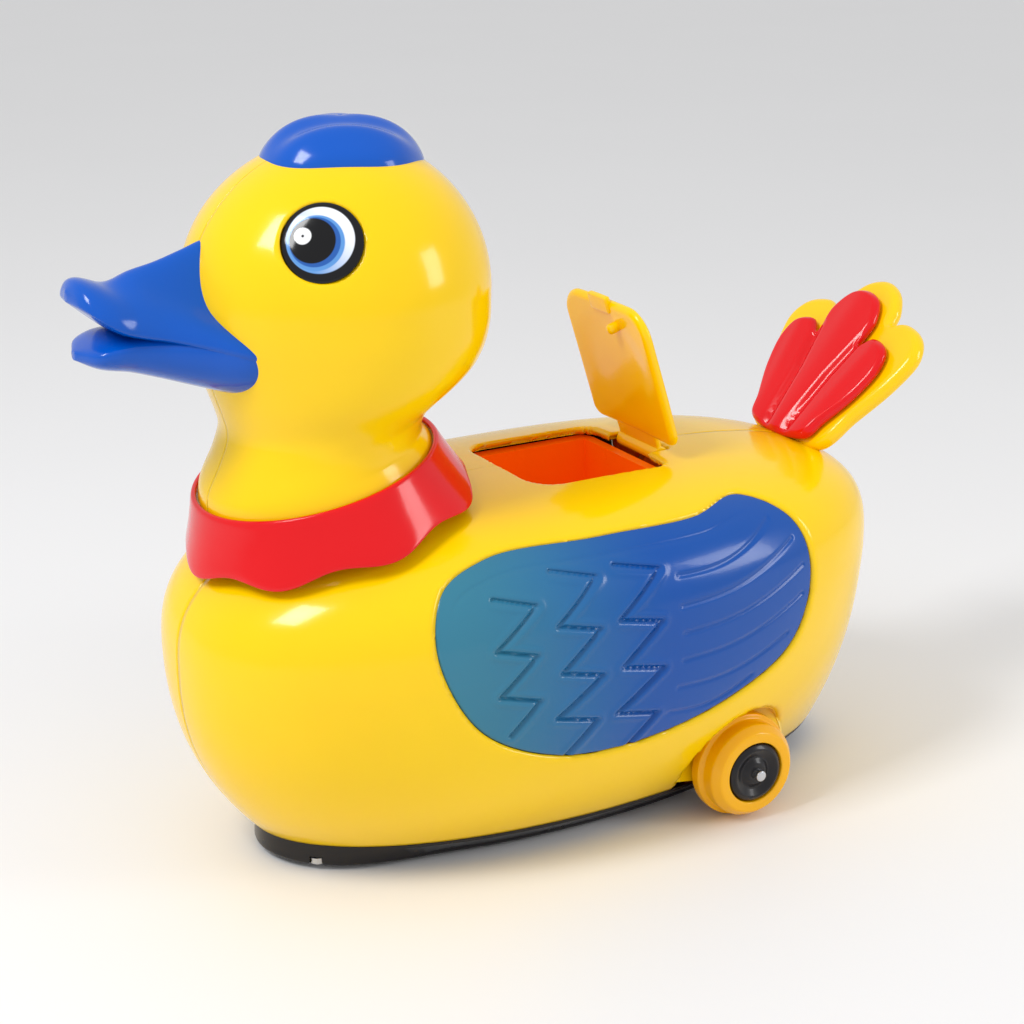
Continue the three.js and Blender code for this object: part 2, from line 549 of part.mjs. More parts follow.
// ---------- egg chute and release wheel ----------
const slope = (chute.frontZ - chute.rearZ) / (chute.rearX - hatch.x);
const floorAt = (x) => chute.frontZ - slope * (x - hatch.x);
const shaftRear = hatch.x + hatch.length;
function chuteSolid() {
  const [w, t] = [chute.halfWidth, chute.wall];
  const front = hatch.x + chute.ledge;
  const back = shaftRear - chute.ledge;
  const rearEnd = chute.rearX;
  const trough = prismY([[front - t, chute.top], [front - t, floorAt(front) - t], [rearEnd, floorAt(rearEnd) - t],
    [rearEnd, floorAt(rearEnd) + chute.sideHeight], [back + 8, floorAt(back + 8) + chute.sideHeight],
    [back + t, floorAt(back) + chute.sideHeight + 8], [back + t, chute.top]], -w - t, w + t);
  const flange = prismZ(roundedRectangle(hatch.x - 4, lidAxis.x - 3.5, -hatch.halfWidth - 3, hatch.halfWidth + 3, 4),
    chute.top - t, chute.top);
  const lugs = [-1, 1].map((side) => {
    const [a, b] = [side * w, side * (w + t)];
    return block(star.x - 5, star.x + 5, Math.min(a, b), Math.max(a, b), floorAt(star.x), star.z + 5);
  });
  const channel = prismY([[front, chute.top + 9], [front, floorAt(front)], [rearEnd + 9, floorAt(rearEnd + 9)],
    [rearEnd + 9, chute.top + 9]], -w, w);
  const hollowed = cut(join(trough, flange, ...lugs),
    common(channel, block(front, rearEnd + 9, -w, w, 0, chute.top - t)),
    block(front, back, -w, w, chute.top - 2 * t, chute.top + 9));
  // The wall behind the hatch leaves room under it for an egg to roll on.
  const backWall = block(back, back + t, -w - t / 2, w + t / 2, floorAt(back) + chute.eggRoom, chute.top - t / 2);
  return cut(join(hollowed, backWall), rodY(star.shaft + running, -60, 60, star.x, star.z));
}
add("egg_chute", chuteSolid(), amber);

const starShaft = { y0: -chute.halfWidth - chute.wall - 1.5, y1: star.gearY + 5 };
function starWheel() {
  const arms = [0, 1, 2].map((i) =>
    block(-star.armWidth / 2, star.armWidth / 2, -star.halfLength, star.halfLength, 0, star.reach)
      .rotateY((i * 2 + 1) * Math.PI / 3).translate(star.x, 0, star.z));
  return join(rodY(star.hub, -star.halfLength - 3, star.halfLength + 3, star.x, star.z), ...arms,
    rodY(star.shaft, starShaft.y0, starShaft.y1, star.x, star.z, 16));
}
add("egg_release_wheel", starWheel(), nylon);
add("release_gear", cut(gear(18, star.gearRadius, star.gearY - 1.5, star.gearY + 1.5, star.x, star.z),
  rodY(star.shaft + 0.05, 0, 60, star.x, star.z, 16)), nylon);
const worm = { radius: 2.4, z: star.z - star.gearRadius - 3.3 };
const wormX = { from: star.x - 12, to: star.x + 8 };
add("release_worm", rodX(worm.radius, wormX.from, wormX.to, star.gearY, worm.z, 20), steel);
const releaseMotor = join(block(wormX.from - motor.length - gap, wormX.from - 2, star.gearY - motor.height / 2,
  star.gearY + motor.height / 2, worm.z - motor.halfWidth, worm.z + motor.halfWidth),
  rodX(3.4, wormX.from - 3, wormX.from - gap, star.gearY, worm.z, 20));
add("release_motor", releaseMotor, steel);

// ---------- outlet flap ----------
function flapSolid() {
  const [w, top] = [outlet.halfWidth - running, flapAxis.z - hinge.barrelRadius * 0.4];
  const panel = cut(common(bodyOuter, block(body.x + 60, body.x + 120, -w, w, outlet.bottom + running, top)),
    bodySkin(fine.rings, fine.around, outlet.thickness));
  const barrel = rodY(hinge.barrelRadius, -outlet.halfWidth + 4, outlet.halfWidth - 4, flapAxis.x, flapAxis.z);
  const [rearX] = bodyPoint(-0.78, 0);
  const tab = block(rearX - 3.5, rearX + 2.4, -7, 7, outlet.bottom + running, outlet.bottom + 2.4);
  const notches = [-1, 1].map((side) => {
    const [near, far] = [side * (outlet.halfWidth - 4), side * (outlet.halfWidth + 2)];
    return block(flapAxis.x - 6, flapAxis.x + 8, Math.min(near, far), Math.max(near, far), flapAxis.z - 3.2, 80);
  });
  return cut(join(cut(panel, ...notches), barrel, tab),
    rodY(hinge.pinRadius + 0.1, -40, 40, flapAxis.x, flapAxis.z));
}
add("outlet_flap", flapSolid(), yellow);
add("outlet_flap_pin", rodY(hinge.pinRadius, -outlet.halfWidth + 0.5, outlet.halfWidth - 0.5, flapAxis.x, flapAxis.z, 16),
  steel);

// ---------- base ----------
const baseOutline = (inset) =>
  Array.from({ length: 36 }, (_, i) => bodyPoint(-1, (2 * Math.PI * i) / 36, inset).slice(0, 2));
const boxFront = batteryBox.x - batteryBox.wall;
const boxRear = batteryBox.x + cell.count * cell.pitch + batteryBox.wall;
const plateTop = base.bottom + base.plate;
const baseTop = base.bottom + base.rim;
const doorTab = { length: 6, halfWidth: 5, top: plateTop + 1.2 };
const doorScrew = { x: boxRear + 2.6, y: 0 };
function basePlate() {
  const outer = prismZ(baseOutline(base.inset), base.bottom, baseTop);
  const hollow = prismZ(baseOutline(base.inset + base.plate), plateTop, baseTop + 5);
  const bosses = bossPlaces.map(([x, y]) => rodZ(4, base.bottom, baseTop, x, y));
  const bearings = [-1, 1].flatMap((side) => {
    const [near, far] = [side * 27, side * 31];
    return block(axle.x - 4, axle.x + 4, Math.min(near, far), Math.max(near, far), plateTop - 0.5, axle.z + 4);
  });
  let plate = join(cut(outer, hollow), ...bosses.map((boss) => common(boss, outer)), ...bearings);
  const grille = Array.from({ length: 5 }, (_, i) =>
    block(speaker.x - 7 + i * 3, speaker.x - 5.6 + i * 3, -7, 7, 0, plateTop + 1));
  plate = cut(plate, rodZ(turret.holeRadius, 0, plateTop + 1, turret.x, 0, 32),
    block(boxFront, boxRear, -batteryBox.halfWidth - batteryBox.wall, batteryBox.halfWidth + batteryBox.wall,
      0, plateTop + 1),
    block(boxRear - 1, boxRear + doorTab.length, -doorTab.halfWidth, doorTab.halfWidth, 0, plateTop + 1),
    rodY(axle.radius + running, -60, 60, axle.x, axle.z),
    block(slider.x - 5, slider.x + 5, -2.2, 2.2, 0, plateTop + 1), ...grille,
    ...bossPlaces.flatMap(([x, y]) => [rodZ(screw.shank + gap, 0, 20, x, y), rodZ(screw.head + gap, 0, base.bottom + 2.5, x, y)]));
  return plate;
}
add("base_plate", basePlate(), black);
function screwSolid(x, y, z, length = screw.length) {
  return cut(join(rodZ(screw.head, z, z + 1.6, x, y, 12), rodZ(screw.shank, z + 1, z + length, x, y, 8)),
    block(x - 1.6, x + 1.6, y - 0.35, y + 0.35, z - 1, z + 0.6), block(x - 0.35, x + 0.35, y - 1.6, y + 1.6, z - 1, z + 0.6));
}
bossPlaces.forEach(([x, y], i) => add(`base_screw_${i + 1}`, screwSolid(x, y, base.bottom + 0.5), steel));

// ---------- battery box ----------
const doorInset = running;
function batteryDoor() {
  const w = batteryBox.halfWidth + batteryBox.wall - doorInset;
  const door = join(block(boxFront + doorInset, boxRear - doorInset, -w, w, base.bottom, plateTop - gap),
    block(boxRear - 1, boxRear + doorTab.length - doorInset, -doorTab.halfWidth + doorInset,
      doorTab.halfWidth - doorInset, base.bottom, plateTop - gap),
    block(boxRear + gap, boxRear + doorTab.length - doorInset, -doorTab.halfWidth + doorInset,
      doorTab.halfWidth - doorInset, base.bottom, doorTab.top));
  return cut(door, rodZ(screw.head + gap, 0, base.bottom + 2.2, doorScrew.x, doorScrew.y),
    rodZ(screw.shank + gap, 0, 20, doorScrew.x, doorScrew.y));
}
add("battery_door", batteryDoor(), black);
function batteryTray() {
  const w = batteryBox.halfWidth;
  const t = batteryBox.wall;
  const outer = block(boxFront, boxRear, -w - t, w + t, plateTop + gap, batteryBox.top + t);
  const posts = [[boxFront + 6, -18], [boxFront + 6, 18], [boxRear - 8, -18], [boxRear - 8, 18]]
    .map(([x, y]) => rodZ(2, batteryBox.top, batteryBox.top + t + 3, x, y, 12));
  const lug = block(boxRear - 1, boxRear + doorTab.length, -4.4, 4.4, doorTab.top + gap, 11);
  const tray = join(cut(outer, block(batteryBox.x, boxRear - t, -w, w, 0, batteryBox.top)), ...posts, lug);
  return cut(tray, rodZ(screw.shank + 0.2, 0, 40, doorScrew.x, doorScrew.y, 8),
    block(boxRear - 3, boxRear + gap + 0.1, -doorTab.halfWidth, doorTab.halfWidth, 0, doorTab.top + gap));
}
add("battery_tray", batteryTray(), black);
const cellZ = plateTop + 1.2 + cell.radius;
for (let i = 0; i < cell.count; i++) {
  const x = batteryBox.x + cell.pitch * (i + 0.5);
  const flip = i % 2 ? -1 : 1;
  const can = rodY(cell.radius, -cell.length / 2, cell.length / 2 - 1.2, x, cellZ, 28);
  const nub = rodY(2.6, cell.length / 2 - 2, cell.length / 2, x, cellZ, 16);
  const whole = join(can, nub);
  add(`battery_cell_${i + 1}`, flip > 0 ? whole : whole.rotateZ(Math.PI).translate(2 * x, 0, 0), black);
}
sides.forEach(([name, side]) => {
  const [near, far] = [side * (batteryBox.halfWidth - 1.1), side * (batteryBox.halfWidth - gap)];
  add(`battery_contact_${name}`, block(batteryBox.x + 1.5, boxRear - batteryBox.wall - 1.5, Math.min(near, far),
    Math.max(near, far), plateTop + 2, cellZ + 5), steel);
});
add("battery_door_screw", screwSolid(doorScrew.x, doorScrew.y, base.bottom + 0.4, 7), steel);

// ---------- sound, switch ----------
const boardZ = batteryBox.top + batteryBox.wall + 3 + gap;
const soundBoard = join(block(boxFront + 2, boxRear - 3, -23, 23, boardZ, boardZ + 1.6),
  block(4, 16, -6, 6, boardZ + 1, boardZ + 4), rodZ(3, boardZ + 1, boardZ + 9, 26, 12, 16));
add("sound_board", soundBoard, board);
add("speaker", join(rodZ(speaker.radius, plateTop + gap, plateTop + 3.5, speaker.x, 0, 32),
  rodZ(speaker.radius * 0.55, plateTop + 3, plateTop + speaker.height, speaker.x, 0, 24)), black);
const sliderZ = plateTop + gap;
add("power_switch", cut(block(slider.x - slider.halfLength, slider.x + slider.halfLength, -slider.halfWidth,
  slider.halfWidth, sliderZ, sliderZ + slider.height + 1.4),
  block(slider.x - 5.4, slider.x + 5.4, -2.6, 2.6, 0, sliderZ + slider.height)), black);
const knobX = slider.x - slider.travel / 2;
add("switch_knob", join(block(knobX - 1.8, knobX + 1.8, -1.8, 1.8, base.bottom - 0.6, sliderZ + 2),
  block(knobX - 2.2, knobX + 2.2, -2.2, 2.2, sliderZ + 0.6, sliderZ + slider.height - 0.5)), black);

// ---------- rear wheels ----------
add("rear_axle", rodY(axle.radius, -axle.halfLength, axle.halfLength, axle.x, axle.z, 20), steel);
sides.forEach(([name, side]) => {
  const steps = [[axle.radius + 0.05, 0], [wheel.radius - 1.2, 0], [wheel.radius, 1.2], [wheel.radius, 4.2],
    [wheel.radius - 1.4, 4.6], [wheel.radius - 1.4, 8.2], [wheel.radius - 3.2, wheel.width],
    [wheel.hubRadius + gap, wheel.width], [wheel.hubRadius + gap, 5.5], [axle.radius + 0.05, 5.5], [axle.radius + 0.05, 0]];
  const turned = (points) => {
    const ring = lathe(points, 22).rotateX(-Math.PI / 2).translate(0, wheel.inner, 0);
    if (side < 0) ring.rotateZ(Math.PI);
    return ring.translate(axle.x, 0, axle.z);
  };
  add(`rear_wheel_${name}`, turned(steps), yellow);
  add(`rear_hub_${name}`, turned([[axle.radius + 0.05, 5.5 + gap], [wheel.hubRadius, 5.5 + gap],
    [wheel.hubRadius, wheel.width - 0.4], [wheel.hubRadius - 1.4, wheel.width + 0.6], [4.4, wheel.width - 0.8],
    [2.8, wheel.width + 0.4], [axle.radius + 0.05, wheel.width + 0.4], [axle.radius + 0.05, 5.5 + gap]]), black);
});

// ---------- bump-and-go turret ----------
const plugTop = plateTop + running;
const flangeTop = plugTop + 1.5;
const axleGear = { teeth: 14, radius: 7, y0: 2, y1: 5.5 };
const idler = { x: drive.x - 3, small: 3.5, big: 8, smallTeeth: 7, bigTeeth: 16 };
idler.z = drive.z + Math.sqrt((axleGear.radius + idler.small) ** 2 - (idler.x - drive.x) ** 2);
const pinion = { x: idler.x - 3, radius: 3, teeth: 6 };
pinion.z = idler.z + Math.sqrt((idler.big + pinion.radius) ** 2 - (pinion.x - idler.x) ** 2);
const linkAngle = Math.atan2(idler.z - drive.z, idler.x - drive.x);
// Turns a gear so that a gap between two teeth faces the gear that it meets.
const meshPhase = (teeth, angle, onTooth) => (angle / (2 * Math.PI)) * teeth - (onTooth ? 0 : 0.5);
const upAngle = Math.atan2(pinion.z - idler.z, pinion.x - idler.x);
function turretFrame() {
  const plug = rodZ(turret.holeRadius - running, base.bottom + 0.3, plugTop + 0.5, turret.x, 0, 32);
  const flange = rodZ(turret.flangeRadius, plugTop, flangeTop, turret.x, 0, 32);
  const reach = 11;
  const cheeks = sides.map(([, side]) => {
    const [near, far] = [side * turret.cheekY, side * (turret.cheekY + turret.cheek)];
    return block(idler.x - 7, drive.x + 8, Math.min(near, far), Math.max(near, far), flangeTop - 0.5,
      side < 0 ? turret.top : turret.top + 3);
  });
  const wheelSlots = sides.map(([, side]) => {
    const [near, far] = [side * (drive.wheelY - 0.6), side * (drive.wheelY + drive.wheelWidth + 0.6)];
    return rodY(drive.radius + 0.7, Math.min(near, far), Math.max(near, far), drive.x, drive.z, 32);
  });
  return cut(join(plug, flange, ...cheeks), ...wheelSlots,
    rodY(axleGear.radius + 1.3, axleGear.y0 - 0.6, axleGear.y1 + 0.6, drive.x, drive.z, 24),
    rodY(drive.shaft + 0.08, -30, 30, drive.x, drive.z, 20), rodY(drive.shaft + 0.08, -30, 30, idler.x, idler.z, 20));
}
add("turret_frame", turretFrame(), nylon);
add("turret_ring", cut(join(rodZ(turret.ringRadius, plateTop + gap, flangeTop + 2, turret.x, 0, 32)),
  rodZ(turret.flangeRadius + running, 0, flangeTop + running, turret.x, 0, 32),
  rodZ(turret.holeRadius, 0, 40, turret.x, 0, 56)), black);
add("drive_axle", rodY(drive.shaft, -drive.wheelY - drive.wheelWidth, drive.wheelY + drive.wheelWidth,
  drive.x, drive.z, 20), steel);
add("drive_axle_gear", cut(gear(axleGear.teeth, axleGear.radius, axleGear.y0, axleGear.y1, drive.x, drive.z,
  meshPhase(axleGear.teeth, linkAngle, true)), rodY(drive.shaft + 0.03, -30, 30, drive.x, drive.z, 20)), nylon);
sides.forEach(([name, side]) => {
  const [near, far] = [side * drive.wheelY, side * (drive.wheelY + drive.wheelWidth)];
  const [y0, y1] = [Math.min(near, far), Math.max(near, far)];
  add(`drive_wheel_${name}`, cut(rodY(drive.coreRadius, y0, y1, drive.x, drive.z, 32),
    rodY(drive.shaft + 0.03, -30, 30, drive.x, drive.z, 20)), nylon);
  add(`drive_tyre_${name}`, cut(rodY(drive.radius, y0, y1, drive.x, drive.z, 40),
    rodY(drive.coreRadius + 0.1, -30, 30, drive.x, drive.z, 32)), rubber);
});
function idlerGear() {
  return join(gear(idler.smallTeeth, idler.small, axleGear.y0, 6.1, idler.x, idler.z,
    meshPhase(idler.smallTeeth, linkAngle + Math.PI, false)),
    gear(idler.bigTeeth, idler.big, 6, 8.6, idler.x, idler.z, meshPhase(idler.bigTeeth, upAngle, true)),
    rodY(drive.shaft, -turret.cheekY - turret.cheek, turret.cheekY + turret.cheek, idler.x, idler.z, 20));
}
add("idler_gear", idlerGear(), nylon);
add("motor_pinion", join(gear(pinion.teeth, pinion.radius, 6, 8.6, pinion.x, pinion.z,
  meshPhase(pinion.teeth, upAngle + Math.PI, false)), rodY(0.9, 1.9, 9.4, pinion.x, pinion.z, 12)), steel);
add("drive_motor", block(pinion.x - motor.halfWidth, pinion.x + motor.halfWidth, 1.5 - motor.length, 1.5,
  pinion.z - motor.height / 2, pinion.z + motor.height / 2), steel);
function motorStrap() {
  const [x0, x1] = [pinion.x - motor.halfWidth - gap, pinion.x + motor.halfWidth + gap];
  return cut(block(x0 - 1.6, x1 + 1.6, -8.6, -1, flangeTop + gap, pinion.z + motor.height / 2 + gap + 1.6),
    block(x0, x1, -20, 5, 0, pinion.z + motor.height / 2 + gap));
}
add("motor_strap", motorStrap(), nylon);

// The part's origin is under the middle of its box, on the floor.
toy.updateMatrixWorld(true);
const bounds = new THREE.Box3().setFromObject(toy);
toy.position.set(-(bounds.min.x + bounds.max.x) / 2, -(bounds.min.y + bounds.max.y) / 2, -bounds.min.z);
const part = new THREE.Group();
part.add(toy);
export default part;
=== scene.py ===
"""An egg-laying toy duck: fine shells, panels and finishes around its fixed mechanical frame.

Shapes are worked out in millimetres: X is measured from the middle of the body, Y to the duck's right and
Z up from the floor. The duck faces -X. make_mesh turns them into metres at the frame's own place.
"""
import json
import math

import bmesh
import bpy
import numpy as np
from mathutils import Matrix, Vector


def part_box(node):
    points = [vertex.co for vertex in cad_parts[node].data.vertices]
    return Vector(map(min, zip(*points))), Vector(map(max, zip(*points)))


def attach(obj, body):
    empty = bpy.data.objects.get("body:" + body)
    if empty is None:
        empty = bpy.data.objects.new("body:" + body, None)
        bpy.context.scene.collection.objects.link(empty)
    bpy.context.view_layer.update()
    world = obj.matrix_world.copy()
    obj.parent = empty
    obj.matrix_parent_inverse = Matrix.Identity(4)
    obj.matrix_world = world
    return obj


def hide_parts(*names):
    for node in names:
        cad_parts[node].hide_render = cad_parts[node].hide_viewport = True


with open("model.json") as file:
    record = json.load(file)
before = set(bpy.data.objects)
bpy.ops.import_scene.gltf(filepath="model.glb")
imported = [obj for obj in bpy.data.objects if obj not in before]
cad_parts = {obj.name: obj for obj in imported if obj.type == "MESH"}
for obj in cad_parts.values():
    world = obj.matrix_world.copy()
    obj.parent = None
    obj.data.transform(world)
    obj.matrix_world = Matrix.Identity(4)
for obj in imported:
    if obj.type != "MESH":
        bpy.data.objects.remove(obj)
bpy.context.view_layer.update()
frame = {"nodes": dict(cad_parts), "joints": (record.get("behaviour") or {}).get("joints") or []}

bl_info = {
    "name": "Egg-laying toy duck",
    "version": (1, 0, 0),
    "blender": (4, 5, 0),
    "location": "3D View > Sidebar > Toy Duck",
    "description": "Builds the fine surfaces and finishes of an egg-laying toy duck around its frame",
    "category": "Add Mesh",
}

# ---------- places taken from the frame ----------
MM = 0.001
JOINTS = {joint["name"]: joint for joint in frame["joints"]}
SHELL_LOW, SHELL_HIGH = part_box("body_shell_left")
MIDDLE_X = (SHELL_LOW.x + SHELL_HIGH.x) / 2 / MM


def joint_place(name):
    """Where a joint's axis passes, in the script's millimetres."""
    x, y, z = (value / MM for value in JOINTS[name]["pos_m"])
    return np.array([x - MIDDLE_X, y, z])


def node_box(name):
    """The lowest and highest corner of a frame node, in the script's millimetres."""
    low, high = (np.array(corner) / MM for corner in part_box(name))
    shift = np.array([MIDDLE_X, 0, 0])
    return low - shift, high - shift


LID_AXIS = joint_place("lid_hinge")
FLAP_AXIS = joint_place("flap_hinge")
REAR_AXLE = joint_place("rear_axle_spin")
TURRET = joint_place("turret_swivel")
SIDES = (("left", -1), ("right", 1))

# ---------- sizes of the shells, in millimetres ----------
BODY = {
    "half_length": 101, "half_width": 56.75, "crown": 95.5, "edge": 8, "bulge": 61, "bulge_rise": 4,
    "edge_front": 0.805, "edge_rear": 0.94, "edge_width": 0.66, "below_power": 2.4,
    "front_power": 2.7, "side_power": 3, "rear_power": 3.6, "plan_power": 2.4, "plan_power_below": 2,
}
COLLAR = {
    "x": -58.5, "z": 90.6, "lean": math.radians(14), "top_radius": 32.2, "bottom_radius": 38,
    "height": 14.6, "thickness": 1.8, "seat_height": 13,
}
HEAD = {"x": -53.0, "z": 149, "radius": 37, "face": 0.1, "neck_radius": 27.6, "neck_x": -59.7}
EYE = {"forward": math.radians(33.5), "up": math.radians(29), "fit": 0.1, "lip": 0.25}
COMB = {"x": -52.3, "half_length": 20.6, "half_width": 18, "top": 191.2}
HATCH = {
    "front": -8.5, "length": 40, "half_width": 20, "corners": (4, 8, 8, 4), "tongue": 9.5, "hook": 4.5,
    "thickness": 2.0, "sunk": 0.02, "cup": 0.5, "barrel": 2.2, "catch": (6.5, -5.5), "catch_half": 1.5,
    "open": math.radians(72),
}
FLAP = {
    "half_width": 19.1, "bottom": 21.4, "top": 59, "thickness": 2, "sunk": 0.05, "corner": 2.6,
    "barrel": 2.2, "barrel_half": 15.5, "tab": 7, "foot_rise": -0.78,
}
OUTLET = {"top": 62.5, "bottom": 21, "half_width": 19.5, "corner": 3.0}
TAIL = {"x": 83.5, "z": 90, "lean": math.radians(41), "thickness": 5, "red_thickness": 3.2}
ARCH = {
    "radius": 16.9, "wall": 1.2, "inner_end": 38.6, "short": 0.9, "clear": 0.2,
    "start": math.radians(-12), "end": math.radians(192),
}
WHEEL = {"inner": 39.8, "bore": 1.55, "corner": 0.5}
AXLE = {"radius": 1.5, "half_length": 53}
GAP = 0.3
PARTING = 0.04
WING_INSET = 0.6
WING_LOOP = [(-54, 69), (-50.5, 81.5), (-36.5, 87.5), (-4.5, 88.5), (23.5, 88.5), (42.5, 90), (54.5, 83),
             (58.5, 66), (52.5, 50), (31.5, 39.5), (0.5, 33.5), (-22.5, 35.5), (-43.5, 47)]

# ---------- how finely surfaces are made and solved ----------
MERGE_DISTANCE = 1e-7  # metres
SHARP_ANGLE = 40  # degrees
HALVINGS = 30


# ---------- shared mathematics ----------
def power(value, exponent):
    """The signed power that rounds a superellipse: the size is raised and the sign stays."""
    return np.sign(value) * np.abs(value) ** exponent


def eased(stations, place):
    """A value carried through (place, value) stations by cubics, each with its neighbours' mean slope."""
    at, value = np.array(stations, float).T
    index = np.arange(len(at))
    low, high = np.maximum(index - 1, 0), np.minimum(index + 1, len(at) - 1)
    slope = (value[high] - value[low]) / (at[high] - at[low])
    place = np.clip(place, at[0], at[-1])
    i = np.clip(np.searchsorted(at, place, side="right") - 1, 0, len(at) - 2)
    width = at[i + 1] - at[i]
    t = (place - at[i]) / width
    return (value[i] * (1 + 2 * t) * (1 - t) ** 2 + slope[i] * width * t * (1 - t) ** 2
            + value[i + 1] * t * t * (3 - 2 * t) + slope[i + 1] * width * t * t * (t - 1))


def smoothstep(value, low, high):
    """0 below low, 1 above high, and the cubic 3t^2 - 2t^3 between."""
    t = np.clip((value - low) / (high - low), 0, 1)
    return t * t * (3 - 2 * t)


def roll(distance, radius):
    """How far a rounded lip has dropped at a distance from its edge: a quarter circle."""
    inside = np.clip(1 - distance / radius, 0, 1)
    return radius * (1 - np.sqrt(1 - inside ** 2))


def smooth_loop(points, steps=24):
    """A closed centripetal Catmull-Rom curve: each stretch blends its four nearest points."""
    p0, p1, p2, p3 = (np.roll(np.array(points, float), k, axis=0)[:, None, :] for k in (1, 0, -1, -2))
    first, second, third = (np.sqrt(np.linalg.norm(b - a, axis=-1, keepdims=True))
                            for a, b in ((p0, p1), (p1, p2), (p2, p3)))
    t1, t2, t3 = first, first + second, first + second + third
    t = t1 + second * np.linspace(0, 1, steps, endpoint=False)[None, :, None]
    a1 = ((t1 - t) * p0 + t * p1) / t1
    a2 = ((t2 - t) * p1 + (t - t1) * p2) / second
    a3 = ((t3 - t) * p2 + (t - t2) * p3) / third
    b1 = ((t2 - t) * a1 + t * a2) / t2
    b2 = ((t3 - t) * a2 + (t - t1) * a3) / (t3 - t1)
    return (((t2 - t) * b1 + (t - t1) * b2) / second).reshape(-1, 2)


def line_distance(points, path, closed=False, block_size=6000):
    """The distance from each point to a path of straight stretches, worked out a block of points at a time."""
    path = np.array(path, float)
    ends = np.roll(path, -1, axis=0) if closed else path[1:]
    starts = path if closed else path[:-1]
    along = ends - starts
    nearest = np.full(len(points), np.inf)
    for first in range(0, len(points), block_size):
        block = slice(first, first + block_size)
        offset = points[block, None, :] - starts[None]
        share = np.clip((offset * along).sum(-1) / (along * along).sum(-1), 0, 1)
        gap = np.linalg.norm(offset - share[..., None] * along, axis=-1)
        nearest[block] = gap.min(axis=1)
    return nearest


def loop_distance(points, loop):
    """The signed distance to a closed loop, negative inside.

    A point is inside when a ray to one side of it crosses the loop an odd number of times.
    """
    ends = np.roll(loop, -1, axis=0)
    inside = np.zeros(len(points), bool)
    for (ax, ay), (bx, by) in zip(loop, ends):
        spans = (ay > points[:, 1]) != (by > points[:, 1])
        crossing = ax + (points[:, 1] - ay) * (bx - ax) / ((by - ay) or 1e-9)
        inside ^= spans & (points[:, 0] < crossing)
    distance = line_distance(points, loop, closed=True)
    return np.where(inside, -distance, distance)


def slab_distance(points, low, high, corner):
    """The signed distance to a rounded rectangle, negative inside."""
    low, high = np.array(low, float), np.array(high, float)
    outside = np.abs(points - (low + high) / 2) - (high - low) / 2 + corner
    return (np.linalg.norm(np.maximum(outside, 0), axis=-1)
            + np.minimum(outside.max(axis=-1), 0) - corner)


def turned(points, axis, angle, centre=(0, 0, 0)):
    """Points turned about an axis through a centre, by Rodrigues' formula."""
    axis = np.array(axis, float) / np.linalg.norm(axis)
    arm = points - np.array(centre, float)
    across = np.cross(axis, arm)
    along = (arm @ axis)[..., None] * axis
    return along + (arm - along) * math.cos(angle) + across * math.sin(angle) + np.array(centre, float)


# ---------- meshes ----------
def quads(rows, columns, wrap_rows=False, wrap_columns=False):
    """The four-sided faces of a grid numbered row by row, which may close on itself either way."""
    i = np.arange(rows if wrap_rows else rows - 1)[:, None]
    j = np.arange(columns if wrap_columns else columns - 1)[None, :]
    next_i, next_j = (i + 1) % rows, (j + 1) % columns
    corners = (i * columns + j, i * columns + next_j, next_i * columns + next_j, next_i * columns + j)
    return np.stack(np.broadcast_arrays(*corners), -1).reshape(-1, 4)


def grid(x, y, z):
    """Three arrays of a grid's coordinates as one list of points."""
    return np.stack(np.broadcast_arrays(x, y, z), -1).reshape(-1, 3)


def make_mesh(name, points, faces, inside=None, disc=None):
    """A mesh in metres, its coinciding points merged and its faces turned away from its inside."""
    mesh = bpy.data.meshes.new(name)
    mesh.from_pydata(((points + [MIDDLE_X, 0, 0]) * MM).tolist(), [], faces.tolist())
    if disc is not None:
        layer = mesh.uv_layers.new(name="disc")
        corners = np.zeros(len(mesh.loops), np.int32)
        mesh.loops.foreach_get("vertex_index", corners)
        layer.data.foreach_set("uv", disc[corners].astype(np.float32).ravel())
    work = bmesh.new()
    work.from_mesh(mesh)
    bmesh.ops.remove_doubles(work, verts=work.verts, dist=MERGE_DISTANCE)
    bmesh.ops.recalc_face_normals(work, faces=work.faces)
    if inside is not None:
        centre = (Vector(inside) + Vector((MIDDLE_X, 0, 0))) * MM
        outward = sum((face.calc_center_median() - centre).dot(face.normal) * face.calc_area()
                      for face in work.faces)
        if outward < 0:
            bmesh.ops.reverse_faces(work, faces=work.faces)
    work.to_mesh(mesh)
    work.free()
    mesh.shade_smooth()
    return mesh


def build_piece(name, surface, body, material, nodes=(), inside=None, wall=0.0, disc=None,
                sharp=SHARP_ANGLE):
    """A finished piece: its mesh at rest, a wall where it is a sheet, its finish, its body and its nodes."""
    mesh = make_mesh(name, *surface, inside=inside, disc=disc)
    piece = bpy.data.objects.new(name, mesh)
    bpy.context.scene.collection.objects.link(piece)
    mesh.set_sharp_from_angle(angle=math.radians(sharp))
    if wall:
        shell = piece.modifiers.new("wall", "SOLIDIFY")
        shell.thickness = wall * MM
        shell.offset = -1
        shell.use_quality_normals = True
    mesh.materials.append(material)
    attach(piece, body)
    if nodes:
        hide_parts(*nodes)
    return piece


def combine(piece, others, operation):
    """Joins other closed pieces to a piece, or cuts them from it, and removes them."""
    for other in others:
        step = piece.modifiers.new("combine", "BOOLEAN")
        step.operation = operation
        step.solver = "EXACT"
        step.object = other
    bpy.context.view_layer.update()
    made = bpy.data.meshes.new_from_object(piece.evaluated_get(bpy.context.evaluated_depsgraph_get()))
    piece.modifiers.clear()
    piece.data = made
    made.set_sharp_from_angle(angle=math.radians(SHARP_ANGLE))
    for other in others:
        bpy.data.objects.remove(other)


